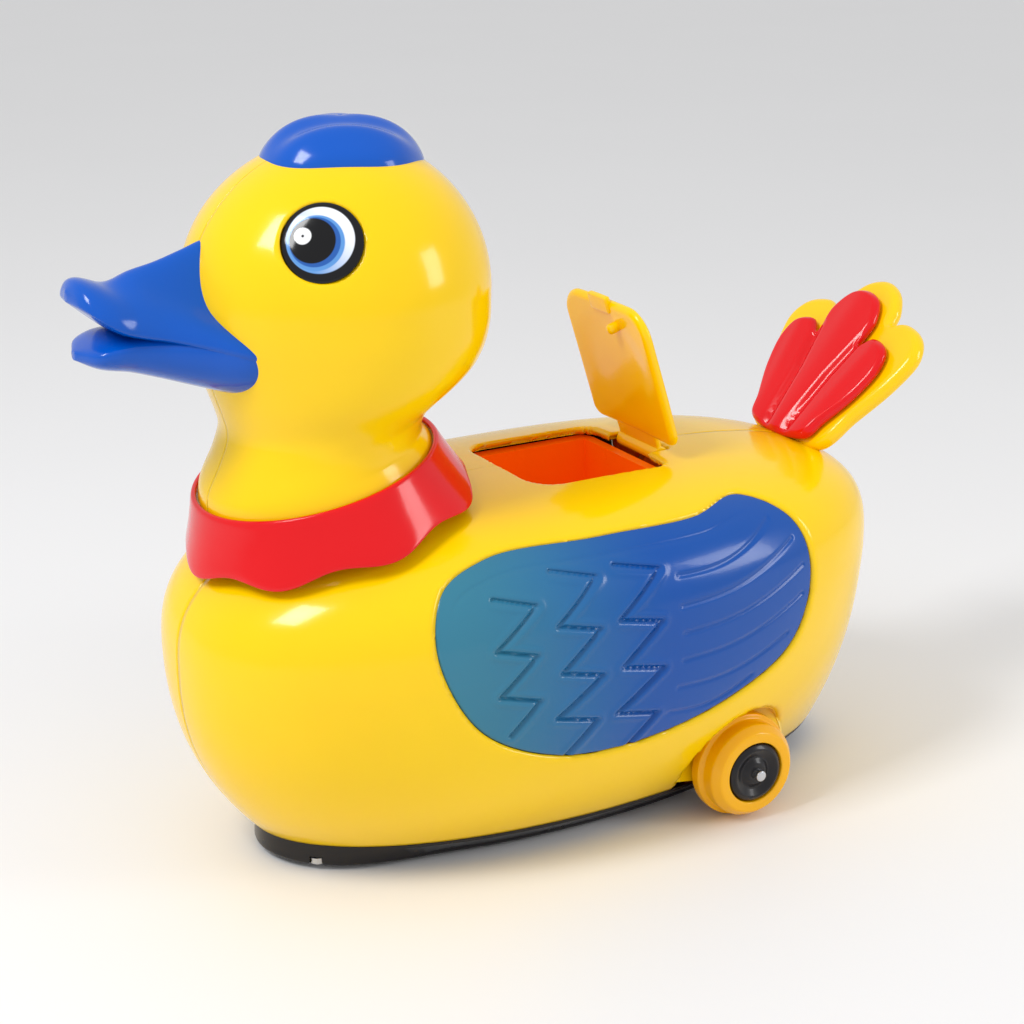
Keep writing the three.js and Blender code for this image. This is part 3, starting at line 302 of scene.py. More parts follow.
def helper(surface):
    """A loose closed object that combine uses up."""
    tool = bpy.data.objects.new("tool", make_mesh("tool", *surface))
    bpy.context.scene.collection.objects.link(tool)
    return tool


def outward_normals(x, y, z, centre):
    """Unit normals of a grid surface: the cross product of its two directions, turned away from a centre."""
    place = np.stack(np.broadcast_arrays(x, y, z), -1)
    normal = np.cross(np.gradient(place, axis=0), np.gradient(place, axis=1))
    normal /= np.maximum(np.linalg.norm(normal, axis=-1, keepdims=True), 1e-12)
    away = ((place - np.array(centre, float)) * normal).sum(-1, keepdims=True)
    return (normal * np.where(away < 0, -1, 1)).reshape(-1, 3)


def cut_opening(surface, normals, axes, distance, near):
    """Takes away the faces inside an outline and moves the points left along its edge onto it.

    axes holds the two directions that the outline is drawn in. A point slides within the surface along the
    outline's own slope, by its distance, until it lies on it.
    """
    far, small, least_slope, passes = 1e3, 1e-3, 0.06, 4
    points, faces = surface
    axes = np.array(axes, float)
    gap = np.full(len(points), far)
    gap[near(points)] = distance(points[near(points)] @ axes.T)
    dropped = gap[faces].mean(axis=1) < 0
    kept = faces[~dropped]
    on_kept, on_dropped = np.zeros(len(points), bool), np.zeros(len(points), bool)
    on_kept[kept] = True
    on_dropped[faces[dropped]] = True
    moving = np.flatnonzero(on_kept & near(points) & (on_dropped | (gap < 0)))
    points = points.copy()
    for _ in range(passes):
        flat = points[moving] @ axes.T
        here = distance(flat)
        slope = np.stack([(distance(flat + step) - here) / small
                          for step in (np.array([small, 0]), np.array([0, small]))], -1) @ axes
        facing = normals[moving]
        slope -= (slope * facing).sum(-1, keepdims=True) * facing
        steepness = np.maximum((slope ** 2).sum(-1, keepdims=True), least_slope)
        points[moving] -= here[:, None] * slope / steepness
    number = np.full(len(points), -1)
    used = np.unique(kept)
    number[used] = np.arange(len(used))
    return (points[used], number[kept]), normals[used]


def roll_edges(points, normals, openings, lip):
    """Rounds the edge of every opening: points sink along their normals by roll of their distance."""
    sunk = np.zeros(len(points))
    for axes, distance, near in openings:
        chosen = near(points)
        gap = np.maximum(distance(points[chosen] @ np.array(axes, float).T), 0)
        sunk[chosen] = np.maximum(sunk[chosen], roll(gap, lip))
    return points - sunk[:, None] * normals


# ---------- the body's surface ----------
def crown_exponent(cosine):
    """The exponent of the crown's profile: its own value in front, at the sides and behind."""
    end = np.where(cosine > 0, BODY["rear_power"], BODY["front_power"])
    return BODY["side_power"] + (end - BODY["side_power"]) * cosine ** 2


def edge_length(cosine):
    """How long the lower edge is there, as a share of the bulge."""
    mean = (BODY["edge_rear"] + BODY["edge_front"]) / 2
    return mean + (BODY["edge_rear"] - BODY["edge_front"]) / 2 * cosine


def body_point(rise, turn, inset=0.0):
    """A point of the body. Rise runs from -1 at the lower edge over 0 at the bulge to 1 at the crown.

    Level cuts are superellipses. Above the bulge they shrink along a superellipse up to the crown, and
    below it they shrink by a power of the depth, more in front than behind.
    """
    cosine, sine = np.cos(turn), np.sin(turn)
    bulge = BODY["bulge"] + BODY["bulge_rise"] * cosine
    below = np.maximum(-rise, 0)
    exponent = crown_exponent(cosine)
    angle = np.maximum(rise, 0) * np.pi / 2
    above = np.cos(angle) ** (2 / exponent)
    length_share = above * (1 - (1 - edge_length(cosine)) * below ** BODY["below_power"])
    width_share = above * (1 - (1 - BODY["edge_width"]) * below ** BODY["below_power"])
    plan = 2 / (BODY["plan_power"] - (BODY["plan_power"] - BODY["plan_power_below"]) * below)
    high = bulge + (BODY["crown"] - inset - bulge) * np.sin(angle) ** (2 / exponent)
    z = np.where(rise < 0, bulge - below * (bulge - BODY["edge"]), high)
    return ((BODY["half_length"] - inset) * length_share * power(cosine, plan),
            (BODY["half_width"] - inset) * width_share * power(sine, plan), z)


def level_shares(z, cosine, inset):
    """The length share, width share and plan exponent of the body's level cut at a height."""
    bulge = BODY["bulge"] + BODY["bulge_rise"] * cosine
    below = np.clip((bulge - z) / (bulge - BODY["edge"]), 0, 1)
    exponent = crown_exponent(cosine)
    height = np.clip((z - bulge) / (BODY["crown"] - inset - bulge), 0, 1)
    above = (1 - height ** exponent) ** (1 / exponent)
    length_share = above * (1 - (1 - edge_length(cosine)) * below ** BODY["below_power"])
    width_share = above * (1 - (1 - BODY["edge_width"]) * below ** BODY["below_power"])
    plan = 2 / (BODY["plan_power"] - (BODY["plan_power"] - BODY["plan_power_below"]) * below)
    return np.maximum(length_share, 1e-6), width_share, plan


def side_reach(x, z, inset=0.0):
    """How far out the side lies at (x, z): the turn that gives x is found by repeated halving steps."""
    cosine = np.zeros(np.broadcast(x, z).shape)
    for _ in range(HALVINGS):
        length_share, width_share, plan = level_shares(z, cosine, inset)
        share = np.clip(power(x / ((BODY["half_length"] - inset) * length_share), 1 / plan), -1, 1)
        cosine = (cosine + share) / 2
    return (BODY["half_width"] - inset) * width_share * (1 - cosine ** 2) ** (plan / 2)


def rear_reach(y, z):
    """How far back the rear lies at (y, z), found as side_reach finds the side."""
    sine = np.zeros(np.broadcast(y, z).shape)
    for _ in range(HALVINGS):
        length_share, width_share, plan = level_shares(z, np.sqrt(1 - sine ** 2), 0.0)
        share = np.clip(power(y / (BODY["half_width"] * width_share), 1 / plan), -0.99, 0.99)
        sine = (sine + share) / 2
    return BODY["half_length"] * length_share * (1 - sine ** 2) ** (plan / 2)


def top_height(x, y):
    """The height of the crown over (x, y): the level superellipse through it gives the profile's share."""
    plan = BODY["plan_power"]
    long_share = np.abs(x) / BODY["half_length"]
    wide_share = np.abs(y) / BODY["half_width"]
    above = np.maximum((long_share ** plan + wide_share ** plan) ** (1 / plan), 1e-6)
    cosine = np.clip(power(x / (BODY["half_length"] * above), plan / 2), -1, 1)
    exponent = crown_exponent(cosine)
    bulge = BODY["bulge"] + BODY["bulge_rise"] * cosine
    return bulge + (BODY["crown"] - bulge) * (1 - above ** exponent) ** (1 / exponent)


def crown_rises(count, samples=4000):
    """Rises from the bulge to the crown at even steps along the side profile."""
    rise = np.linspace(0, 1, samples)
    angle = rise * np.pi / 2
    exponent = 2 / BODY["side_power"]
    x = BODY["half_length"] * np.cos(angle) ** exponent
    z = (BODY["crown"] - BODY["bulge"]) * np.sin(angle) ** exponent
    length = np.concatenate([[0], np.cumsum(np.hypot(np.diff(x), np.diff(z)))])
    return np.interp(np.linspace(0, length[-1], count), length, rise)


def wing_distance(flat):
    """The signed distance to the wing's outline, in (x, z)."""
    return loop_distance(flat, smooth_loop(WING_LOOP, steps=12))


def rounded_loop(low, high, radii, steps=6):
    """A rounded rectangle's outline: quarter circles at its four corners, the highest corner first."""
    turn = np.linspace(0, np.pi / 2, 12)
    corners = [(high[0], high[1], -1, -1), (low[0], high[1], 1, -1),
               (low[0], low[1], 1, 1), (high[0], low[1], -1, 1)]
    loop = np.concatenate([
        np.stack([x + inward_x * r + r * np.cos(turn + quarter * np.pi / 2),
                  y + inward_y * r + r * np.sin(turn + quarter * np.pi / 2)], -1)
        for quarter, ((x, y, inward_x, inward_y), r) in enumerate(zip(corners, radii))])
    share = np.linspace(0, 1, steps, endpoint=False)[None, :, None]
    return (loop[:, None] * (1 - share) + np.roll(loop, -1, axis=0)[:, None] * share).reshape(-1, 2)


def hatch_loop():
    """The lid's outline in (x, y): round corners in front and smaller ones at the hinge."""
    front, half = HATCH["front"], HATCH["half_width"]
    return rounded_loop((front, -half), (front + HATCH["length"], half), HATCH["corners"])


def hatch_distance(flat):
    """The signed distance to the hatch opening, in (x, y): the panel's rectangle and the tongue's."""
    rear = HATCH["front"] + HATCH["length"]
    panel = loop_distance(flat, hatch_loop()) - GAP
    width, overlap, barrel_room, corner = HATCH["tongue"] + GAP, 6, 2.6, 1.0
    tongue = slab_distance(flat, (rear - overlap, -width), (LID_AXIS[0] + barrel_room, width), corner)
    return np.minimum(panel, tongue)


def outlet_distance(flat):
    """The signed distance to the egg outlet, in (y, z)."""
    width = OUTLET["half_width"] + GAP
    return slab_distance(flat, (-width, OUTLET["bottom"]), (width, OUTLET["top"]), OUTLET["corner"])


def arch_distance(flat):
    """The signed distance to the wheel arch, a circle about the rear axle in (x, z)."""
    return np.linalg.norm(flat - REAR_AXLE[[0, 2]], axis=-1) - ARCH["radius"]


FROM_TOP = (1, 0, 0), (0, 1, 0)
FROM_SIDE = (1, 0, 0), (0, 0, 1)
FROM_REAR = (0, 1, 0), (0, 0, 1)
# each opening: the directions it is drawn in, its outline, and the stretch of the body that it lies in
OPENINGS = [
    (FROM_TOP, hatch_distance, lambda p: (p[:, 2] > 84) & (np.abs(p[:, 1]) < 30)),
    (FROM_SIDE, lambda flat: wing_distance(flat) - GAP, lambda p: np.abs(p[:, 1]) > 28),
    (FROM_SIDE, arch_distance, lambda p: (np.abs(p[:, 1]) > 30) & (p[:, 2] < 42)),
    (FROM_REAR, outlet_distance, lambda p: p[:, 0] > 60),
]


def body_half(side, lip):
    """One half of the body casing: the body's grid, cut at its openings, with every edge rolled inwards."""
    rows_below, rows_above, columns = 62, 128, 236
    rise = np.concatenate([np.linspace(-1, 0, rows_below, endpoint=False), crown_rises(rows_above)])[:, None]
    turn = np.linspace(0, np.pi, columns)[None, :]
    x, y, z = body_point(rise, turn)
    y = side * np.maximum(y, PARTING)
    normals = outward_normals(x, y, z, (0, 0, BODY["bulge"]))
    surface = grid(x, y, z), quads(rise.size, turn.size)
    for opening in OPENINGS:
        surface, normals = cut_opening(surface, normals, *opening)
    points, faces = surface
    return roll_edges(points, normals, OPENINGS, lip), faces


def arch_liner(side):
    """The cup round a rear wheel: a thin half pipe from its closed inner end out to the body's side."""
    angle = np.linspace(ARCH["start"], ARCH["end"], 90)[None, :]
    share = np.linspace(0, 1, 12)[:, None]
    lowest = BODY["edge"] + ARCH["clear"]
    shells = []
    for radius in (ARCH["radius"], ARCH["radius"] + ARCH["wall"]):
        x = REAR_AXLE[0] + radius * np.cos(angle)
        z = np.maximum(REAR_AXLE[2] + radius * np.sin(angle), lowest)
        start = ARCH["inner_end"] - (radius - ARCH["radius"])
        reach = np.maximum(side_reach(x, z) - ARCH["short"], start + ARCH["clear"])
        shells.append((x + 0 * share, start + (reach - start) * share, z + 0 * share))
    centre = (np.full_like(angle, REAR_AXLE[0]), np.full_like(angle, lowest))
    (ix, iy, iz), (ox, oy, oz) = shells
    rows_x = np.concatenate([centre[0], ix, ox[::-1], centre[0]])
    rows_y = np.concatenate([iy[:1], iy, oy[::-1], oy[:1]])
    rows_z = np.concatenate([centre[1], iz, oz[::-1], centre[1]])
    return grid(rows_x, side * rows_y, rows_z), quads(rows_x.shape[0], angle.size)


# ---------- head, bill, tuft and eyes ----------
SEAT_RADIUS = COLLAR["top_radius"] - COLLAR["thickness"] - 2 * GAP
SEAT_X = COLLAR["x"] - math.sin(COLLAR["lean"]) * (COLLAR["seat_height"] + GAP)
SEAT_Z = COLLAR["z"] + math.cos(COLLAR["lean"]) * (COLLAR["seat_height"] + GAP)
NECK_RADII = [(0, SEAT_RADIUS - 0.2), (0.1, SEAT_RADIUS - 1.9), (0.24, HEAD["neck_radius"]),
              (0.35, HEAD["neck_radius"] + 1.6), (0.55, HEAD["radius"] - 2.8),
              (0.78, HEAD["radius"] - 0.5), (1, HEAD["radius"])]
BILL_ROOT = 26
NECK_MIDDLES = [(0, SEAT_X), (0.1, SEAT_X - 1.2), (0.25, HEAD["neck_x"]), (0.42, HEAD["x"] - 1.2),
                (0.6, HEAD["x"]), (1, HEAD["x"])]


def head_point(share, turn):
    """A point of the neck and head: share is 0 at the collar, 1 at the head's middle and 2 at its top.

    Below the middle, circles follow an eased radius and middle, and tilt with the collar near it. Above,
    they are those of a half sphere. The face is drawn forwards by a share of the radius.
    """
    neck = np.clip(share, 0, 1)
    angle = np.clip(share - 1, 0, 1) * np.pi / 2
    radius = np.where(share > 1, HEAD["radius"] * np.cos(angle), eased(NECK_RADII, neck))
    tilt = math.tan(COLLAR["lean"]) * smoothstep(1 - neck, 0.05, 0.82)
    x = eased(NECK_MIDDLES, neck)
    forward = 1 + HEAD["face"] * smoothstep(-np.cos(turn), 0, 1) * smoothstep(neck, 0.5, 0.95)
    z = SEAT_Z + (HEAD["z"] - SEAT_Z) * neck + HEAD["radius"] * np.sin(angle)
    return x + radius * forward * np.cos(turn), radius * np.sin(turn), z + tilt * radius * np.cos(turn)


def head_top(x, y):
    """The height of the head's sphere over (x, y)."""
    return HEAD["z"] + np.sqrt(np.maximum(HEAD["radius"] ** 2 - (x - HEAD["x"]) ** 2 - y ** 2, 0))


def eye_axes(side):
    """An eye's directions: towards the duck's back, upwards, and straight out of the head."""
    out = np.array([-math.sin(EYE["forward"]) * math.cos(EYE["up"]),
                    side * math.cos(EYE["forward"]) * math.cos(EYE["up"]), math.sin(EYE["up"])])
    up = np.array([0, 0, 1.0]) - out[2] * out
    up /= np.linalg.norm(up)
    back = np.cross(up, out) * -side
    return back, up, out


def head_half(side, eye_radius, lip):
    """One half of the head and neck, cut round the eye, whose edge is rolled inwards."""
    neck_rows, dome_rows, columns, eye_side = 96, 76, 150, 25
    neck, dome = np.linspace(0, 1, neck_rows, endpoint=False), np.linspace(1, 2, dome_rows)
    share = np.concatenate([neck, dome])[:, None]
    turn = np.linspace(0, np.pi, columns)[None, :]
    x, y, z = head_point(share, turn)
    y = side * np.maximum(y, PARTING)
    back, up, out = eye_axes(side)
    centre = np.array([HEAD["x"], 0, HEAD["z"]])
    middle = np.array([centre @ back, centre @ up])
    socket = ((back, up), lambda flat: np.linalg.norm(flat - middle, axis=-1) - eye_radius - EYE["fit"],
              lambda points: (points - centre) @ out > eye_side)
    (points, faces), normals = cut_opening((grid(x, y, z), quads(share.size, turn.size)),
                                           outward_normals(x, y, z, centre), *socket)
    return roll_edges(points, normals, [socket], lip), faces


def eye_disc(side, radius):
    """A shallow domed disc: rings of a flattened cap whose edge rolls down, closed by a flat back.

    Its own coordinates run from -1 to 1 across the print, towards the duck's back and upwards.
    """
    front_rings, back_rings, rim, dome, depth = 40, 8, 0.5, 1.5, 2.4
    ring = np.concatenate([np.linspace(0, 1, front_rings), np.linspace(1, 0, back_rings)])[:, None]
    front = np.arange(front_rings + back_rings)[:, None] < front_rings
    turn = np.linspace(0, 2 * np.pi, 120, endpoint=False)[None, :]
    face = math.sqrt(HEAD["radius"] ** 2 - radius ** 2)
    cap = face + rim + dome * np.sqrt(np.maximum(1 - (0.999 * ring) ** 2, 0)) ** 1.3
    height = np.where(front, cap, face - depth)
    across, along = radius * ring * np.cos(turn), radius * ring * np.sin(turn)
    back, up, out = eye_axes(side)
    points = (np.array([HEAD["x"], 0, HEAD["z"]]) + across.reshape(-1, 1) * back
              + along.reshape(-1, 1) * up + (height + 0 * turn).reshape(-1, 1) * out)
    disc = np.stack([across.ravel(), along.ravel()], -1) / radius
    return points, quads(ring.size, turn.size, wrap_columns=True), disc


def loft(ahead, section, around=128):
    """A closed surface of the cross sections section(ahead, turn), in Y and Z, each end shrunk to a point."""
    turn = np.linspace(0, 2 * np.pi, around, endpoint=False)[None, :]
    y, z = section(ahead[:, None], turn)
    x = HEAD["x"] - ahead[:, None] + 0 * turn
    rows = [np.concatenate([a[:1] * 0 + a[:1].mean(), a, a[-1:] * 0 + a[-1:].mean()]) for a in (x, y, z)]
    return grid(*rows), quads(rows[0].shape[0], around, wrap_columns=True)


def bill_places(tip, count):
    """Places ahead of the head's middle from the bill's root to its tip, closer together towards the tip."""
    return BILL_ROOT + (tip - BILL_ROOT) * np.sin(np.linspace(0, 1, count) * np.pi / 2)


def upper_bill():
    """The upper bill. Its top is a low dome plus a narrow ridge that fades forwards, and its lips flare."""
    root, tip = BILL_ROOT, 70.8
    top = [(root, 166.0), (36, 164.6), (42, 162.6), (50, 160.2), (58, 159.0), (65, 158.8), (69.0, 158.5),
           (tip, 156.2)]
    lips = [(root, 138), (36, 141), (46, 143.6), (52, 145.0), (58, 146.6), (62, 148.2), (66, 150.6),
            (tip, 154.4)]
    under = [(root, 132), (40, 138), (49, 142.0), (55, 143.6), (60, 145.2), (63, 147.0), (66, 149.4),
             (tip, 153.4)]
    widths = [(root, 22.4), (34, 20.0), (42, 15.4), (50, 12.4), (57, 11.9), (63, 12.4), (67.5, 10.6),
              (69.9, 6.6), (tip, 1.2)]
    domes = [(root, 0.24), (36, 0.34), (46, 0.56), (56, 0.85), (64, 1), (tip, 1)]
    scoop_depth, scoop_place, scoop_reach = 2.0, 61, 4.2

    def section(place, turn):
        sine, cosine = np.sin(turn), np.cos(turn)
        width, lip = eased(widths, place), eased(lips, place)
        crest = eased(top, place) - lip
        dome = eased(domes, place)
        rest = np.clip(1 - cosine ** 2, 0, 1)
        over = crest * (dome * rest ** 0.62 + (1 - dome) * rest ** 7)
        scoop = scoop_depth * np.exp(-((place - scoop_place) / scoop_reach) ** 2) * rest ** 2
        below = (lip - eased(under, place)) * rest ** 0.45
        return width * cosine, lip + np.where(sine > 0, over - scoop, -below)

    return loft(bill_places(tip, 110), section)


def lower_bill():
    """The lower bill: rounded cross sections under the upper bill, which part from it at the mouth."""
    root, tip, middle_share = BILL_ROOT, 69.8, 0.34
    top = [(root, 147), (40, 145.4), (50, 145.2), (58, 145.2), (62, 144.8), (65, 143.8), (tip, 141.6)]
    bottom = [(root, 125.5), (32, 127.0), (38, 128.9), (44, 130.9), (50, 133.0), (58, 135.6), (65, 137.2),
              (tip, 139.4)]
    widths = [(root, 22.0), (34, 19.6), (42, 15.0), (50, 12.0), (57, 10.9), (63, 10.6), (67, 8.4), (tip, 1.4)]

    def section(place, turn):
        sine, cosine = np.sin(turn), np.cos(turn)
        high, low = eased(top, place), eased(bottom, place)
        middle = high + (low - high) * middle_share
        z = np.where(sine > 0, middle + (high - middle) * power(sine, 0.7),
                     middle + (middle - low) * power(sine, 0.9))
        return eased(widths, place) * power(cosine, 0.8), z

    return loft(bill_places(tip, 90), section)


def tuft():
    """The blue tuft: a flattened dome that follows the head, with soft strands sweeping back over it.

    Its height over the head falls from the middle to the rim by the root of one minus the fifth power.
    """
    reach = np.concatenate([[1.0], np.sin(np.linspace(1, 0, 70) * np.pi / 2)])[:, None]
    turn = np.linspace(0, 2 * np.pi, 200, endpoint=False)[None, :]
    rim = 1 + 0.02 * np.cos(5 * turn + 0.6)
    x = COMB["x"] + COMB["half_length"] * rim * reach * np.cos(turn)
    y = COMB["half_width"] * rim * reach * np.sin(turn)
    cover = np.maximum(1 - reach ** 5, 0) ** 0.5
    bend = 2.4 * np.sin((x - COMB["x"]) * 0.075)
    strands = 0.7 * np.cos(y * 0.55 + bend) * np.sin(np.clip(reach, 0, 1) * np.pi) ** 0.6
    crest = COMB["top"] - HEAD["z"] - HEAD["radius"]
    z = head_top(x, y) - 0.8 + (crest + 0.5) * cover + strands * cover
    z[0] = (head_top(x, y) - 1.6)[0]
    under = grid(0 * turn + COMB["x"], 0 * turn, 0 * turn + HEAD["z"] + HEAD["radius"] - 5)
    points = np.concatenate([under, grid(x, y, np.minimum(z, COMB["top"]))])
    return points, quads(reach.size + 1, turn.size, wrap_columns=True)


def collar_ring(waves, depth):
    """The wavy collar: a rounded slab carried round a leaning circle, flaring and waving towards its hem.

    A shallow ring on its front marks where it was moulded.
    """
    rows, columns = 420, 44
    around = np.linspace(0, 2 * np.pi, rows, endpoint=False)[:, None]
    section = np.linspace(0, 2 * np.pi, columns, endpoint=False)[None, :]
    share = (1 - power(np.cos(section), 0.3)) / 2
    skin = power(np.sin(section), 0.6) * COLLAR["thickness"] / 2
    wave = np.cos(waves * around) * share ** 1.5
    radius = (COLLAR["top_radius"] + (COLLAR["bottom_radius"] - COLLAR["top_radius"]) * share ** 1.25
              - COLLAR["thickness"] / 2 + skin + 0.7 * depth * wave)
    height = COLLAR["height"] * (1 - share) - depth * wave
    mark_turn, mark_height, mark_radius, mark_depth = math.radians(218), COLLAR["height"] * 0.36, 1.9, 0.35
    gap = np.hypot((around - mark_turn) * COLLAR["bottom_radius"], (height - mark_height) * 1.5)
    radius = radius - mark_depth * np.exp(-((gap - mark_radius) / 0.5) ** 2) * (np.sin(section) > 0)
    points = grid(radius * np.cos(around), radius * np.sin(around), height)
    leaning = turned(points, (0, 1, 0), -COLLAR["lean"])
    return leaning + np.array([COLLAR["x"], 0, COLLAR["z"]]), quads(rows, columns, True, True)


# ---------- wings ----------
def feather_lines():
    """The engraved zigzags: three columns of teeth, each a short stroke back and a long one down and forwards.

    Every other tooth starts a little further forward, by the shift.
    """
    columns = [(-38.5, 79.5, 10.6, 12.2, 3), (-22.0, 83.6, 11.6, 12.4, 4), (-4.6, 82.6, 12.4, 12.8, 4)]
    shift, drop, tail = -0.9, 2.6, 3.4
    lines = []
    for start_x, start_z, tooth, pitch, count in columns:
        path = []
        for i in range(count):
            x = start_x + shift * (i % 2)
            path += [(x, start_z - i * pitch), (x + tooth, start_z - drop - i * pitch)]
        path.append((start_x + tail, start_z - count * pitch + 1))
        lines.append(path)
    return lines


def sweep_lines():
    """The long shallow grooves of the rear half: bowed lines that fan out backwards and upwards."""
    share = np.linspace(0, 1, 16)
    starts = [(13, 77.5), (13, 70), (14, 62.5), (14, 55), (13, 47.5), (11, 40.5)]
    ends = [(46, 84.5), (52, 79), (55, 71.5), (55, 63.5), (50, 53.5), (38, 44.5)]
    return [np.stack([x0 + (x1 - x0) * share, z0 + (z1 - z0) * share - 2.6 * np.sin(share * np.pi)], -1)
            for (x0, z0), (x1, z1) in zip(starts, ends)]


def wing_panel(side, groove, lip):
    """A wing: columns between the outline's lower and upper edge, laid just under the body's surface.

    Bell-shaped grooves follow the feather lines, shallower ones sweep back, and one runs inside the top
    edge.
    """
    columns, rows = 300, 190
    loop = smooth_loop(WING_LOOP, steps=24)
    first, last = loop[:, 0].argmin(), loop[:, 0].argmax()
    order = np.roll(loop, -first, axis=0)
    turn_at = (last - first) % len(loop)
    upper, lower = order[:turn_at + 1], np.concatenate([order[turn_at:], order[:1]])[::-1]
    u = np.linspace(0, 1, columns)[:, None]
    v = np.linspace(0, 1, rows)[None, :]
    x = loop[first, 0] + (loop[last, 0] - loop[first, 0]) * (1 - np.cos(u * np.pi)) / 2
    low = np.interp(x, lower[:, 0], lower[:, 1])
    high = np.interp(x, upper[:, 0], upper[:, 1])
    z = low + (high - low) * (1 - np.cos(v * np.pi)) / 2
    x = x + 0 * v
    flat = np.stack([x.ravel(), z.ravel()], -1)
    edge = -np.minimum(loop_distance(flat, loop), 0)
    depth = roll(edge, lip)
    for path in feather_lines():
        gap = line_distance(flat, path)
        raised_rim = 0.3 * groove * np.exp(-((gap - 1.5) / 0.8) ** 2)
        depth = depth + groove * np.exp(-(gap / 0.5) ** 2) - raised_rim
    for path in sweep_lines():
        depth = depth + 0.45 * groove * np.exp(-(line_distance(flat, path) / 0.6) ** 2)
    front_part = 1 - smoothstep(flat[:, 0], 30, 44)
    upper_part = smoothstep(flat[:, 1], 76, 84)
    depth = depth + 0.4 * groove * np.exp(-((edge - 3.6) / 0.5) ** 2) * front_part * upper_part
    y = side_reach(x, z, WING_INSET) - depth.reshape(x.shape)
    return grid(x, side * y, z), quads(*x.shape)


# ---------- plates with rounded edges: tail and lid ----------
def plate(loop, centre, rings, thickness, relief=None):
    """A closed plate in its own plane: rays from the centre to the outline, both faces rounded at the edge.

    Each face drops by a quarter circle near the outline, so that the two meet there. Relief lifts the
    front, and fades in over a short way from the outline.
    """
    fade = 1.6
    ray = np.sin(np.linspace(0, 1, rings) * np.pi / 2)[:, None, None]
    flat = np.array(centre, float) + ray * (loop[None] - np.array(centre, float))
    edge = np.maximum(-loop_distance(flat.reshape(-1, 2), loop), 0)
    edge[-len(loop):] = 0
    half = thickness / 2
    rise = half - roll(edge, half)
    front = half + rise
    if relief is not None:
        front = front + relief(flat.reshape(-1, 2)) * smoothstep(edge, 0, fade)
    face = np.concatenate([flat.reshape(-1, 2), front[:, None]], 1)
    behind = np.concatenate([flat.reshape(-1, 2), (half - rise)[:, None]], 1)
    count = len(loop)
    back_rows = behind.reshape(rings, count, 3)[::-1].reshape(-1, 3)
    return np.concatenate([face, back_rows]), quads(2 * rings, count, wrap_columns=True)


YELLOW_FAN = [(0, 54), (6, 52), (10.5, 46.5), (12, 42.2), (17.5, 43.5), (25, 41), (28.5, 35), (26.5, 25),
              (20.5, 12), (15, 1)]
RED_FAN = [(0, 48), (5.5, 46.2), (9.2, 40), (9.4, 31.5), (14, 35), (20, 33), (22, 27), (19.8, 17), (15, 7),
           (12, 1)]


def fan_loop(right):
    """A three-lobed outline about the tail's foot: its right half is given and its left half mirrored."""
    return smooth_loop(right + [(-across, up) for across, up in right[:0:-1]], steps=18)


def stand_tail(points, forward):
    """Stands a plate drawn as (across, up, front) on the tail's foot and leans it back."""
    across, up, front = points.T
    front = front + forward
    sine, cosine = math.sin(TAIL["lean"]), math.cos(TAIL["lean"])
    x = TAIL["x"] - front * cosine + up * sine
    z = TAIL["z"] + front * sine + up * cosine
    return np.stack([x, -across, z], -1)


def tail_relief(flat):
    """The ribs of the red fan: a soft valley falls from each notch to the foot, and each lobe is domed."""
    height = 0.8 * np.exp(-(flat[:, 0] / 5.5) ** 2)
    for side in (-1, 1):
        valley = [(side * 9.6, 34), (side * 6.6, 20), (side * 3.6, -4)]
        ridge = [(side * 16.5, 32), (side * 9, -4)]
        height -= 1.3 * np.exp(-(line_distance(flat, valley) / 1.5) ** 2)
        height += 0.6 * np.exp(-(line_distance(flat, ridge) / 3.4) ** 2)
    return height


def lid_parts():
    """The open lid: a plate that follows the crown, its tongue, hinge barrel, latch hook and catch boss."""
    front, rear = HATCH["front"], HATCH["front"] + HATCH["length"]
    half, crown, tongue = HATCH["half_width"], BODY["crown"], HATCH["tongue"]
    middle = ((front + rear) / 2, 0)

    def cup(flat):
        share = np.linalg.norm((flat - middle) / half, axis=-1)
        return HATCH["cup"] * smoothstep(share, 0.55, 0.95)

    points, faces = plate(hatch_loop(), middle, 30, HATCH["thickness"], cup)
    points[:, 2] = top_height(points[:, 0], points[:, 1]) - points[:, 2] - HATCH["sunk"]
    hook, boss = HATCH["hook"], HATCH["catch_half"]
    catch_x, catch_y = front + HATCH["catch"][0], HATCH["catch"][1]
    catch_spans = (catch_x - boss, catch_x + boss), (catch_y - boss, catch_y + boss)
    parts = [
        (points, faces),
        slab((rear - 3, LID_AXIS[0] + 0.4), (-tongue, tongue), (crown - 2.5, crown - 0.7), 0.7),
        rod((LID_AXIS[0], LID_AXIS[2]), HATCH["barrel"], -tongue, tongue),
        slab((front - 1.8, front + 3), (-hook, hook), (crown - 3.2, crown - 1.4), 0.6),
        slab(*catch_spans, (crown - 5.4, crown - 1.4), 1.4),
    ]
    return [(turned(some, (0, 1, 0), HATCH["open"], LID_AXIS), part_faces) for some, part_faces in parts]


def flap_parts():
    """The egg flap: a plate that follows the rear, its hinge barrel and its finger tab."""
    half, low, high = FLAP["half_width"], FLAP["bottom"], FLAP["top"]
    loop = rounded_loop((-half, low), (half, high), (FLAP["corner"],) * 4)
    points, faces = plate(loop, (0, (low + high) / 2), 26, FLAP["thickness"])
    across, up, out = points.T
    back = rear_reach(across, up) - FLAP["sunk"] - FLAP["thickness"] + out
    foot = body_point(np.array(FLAP["foot_rise"]), np.array(0.0))[0]
    return [
        (np.stack([back, across, up], -1), faces),
        rod((FLAP_AXIS[0], FLAP_AXIS[2]), FLAP["barrel"], -FLAP["barrel_half"], FLAP["barrel_half"]),
        slab((foot - 3.5, foot + 2.4), (-FLAP["tab"], FLAP["tab"]), (low, low + 2), 0.9),
    ]


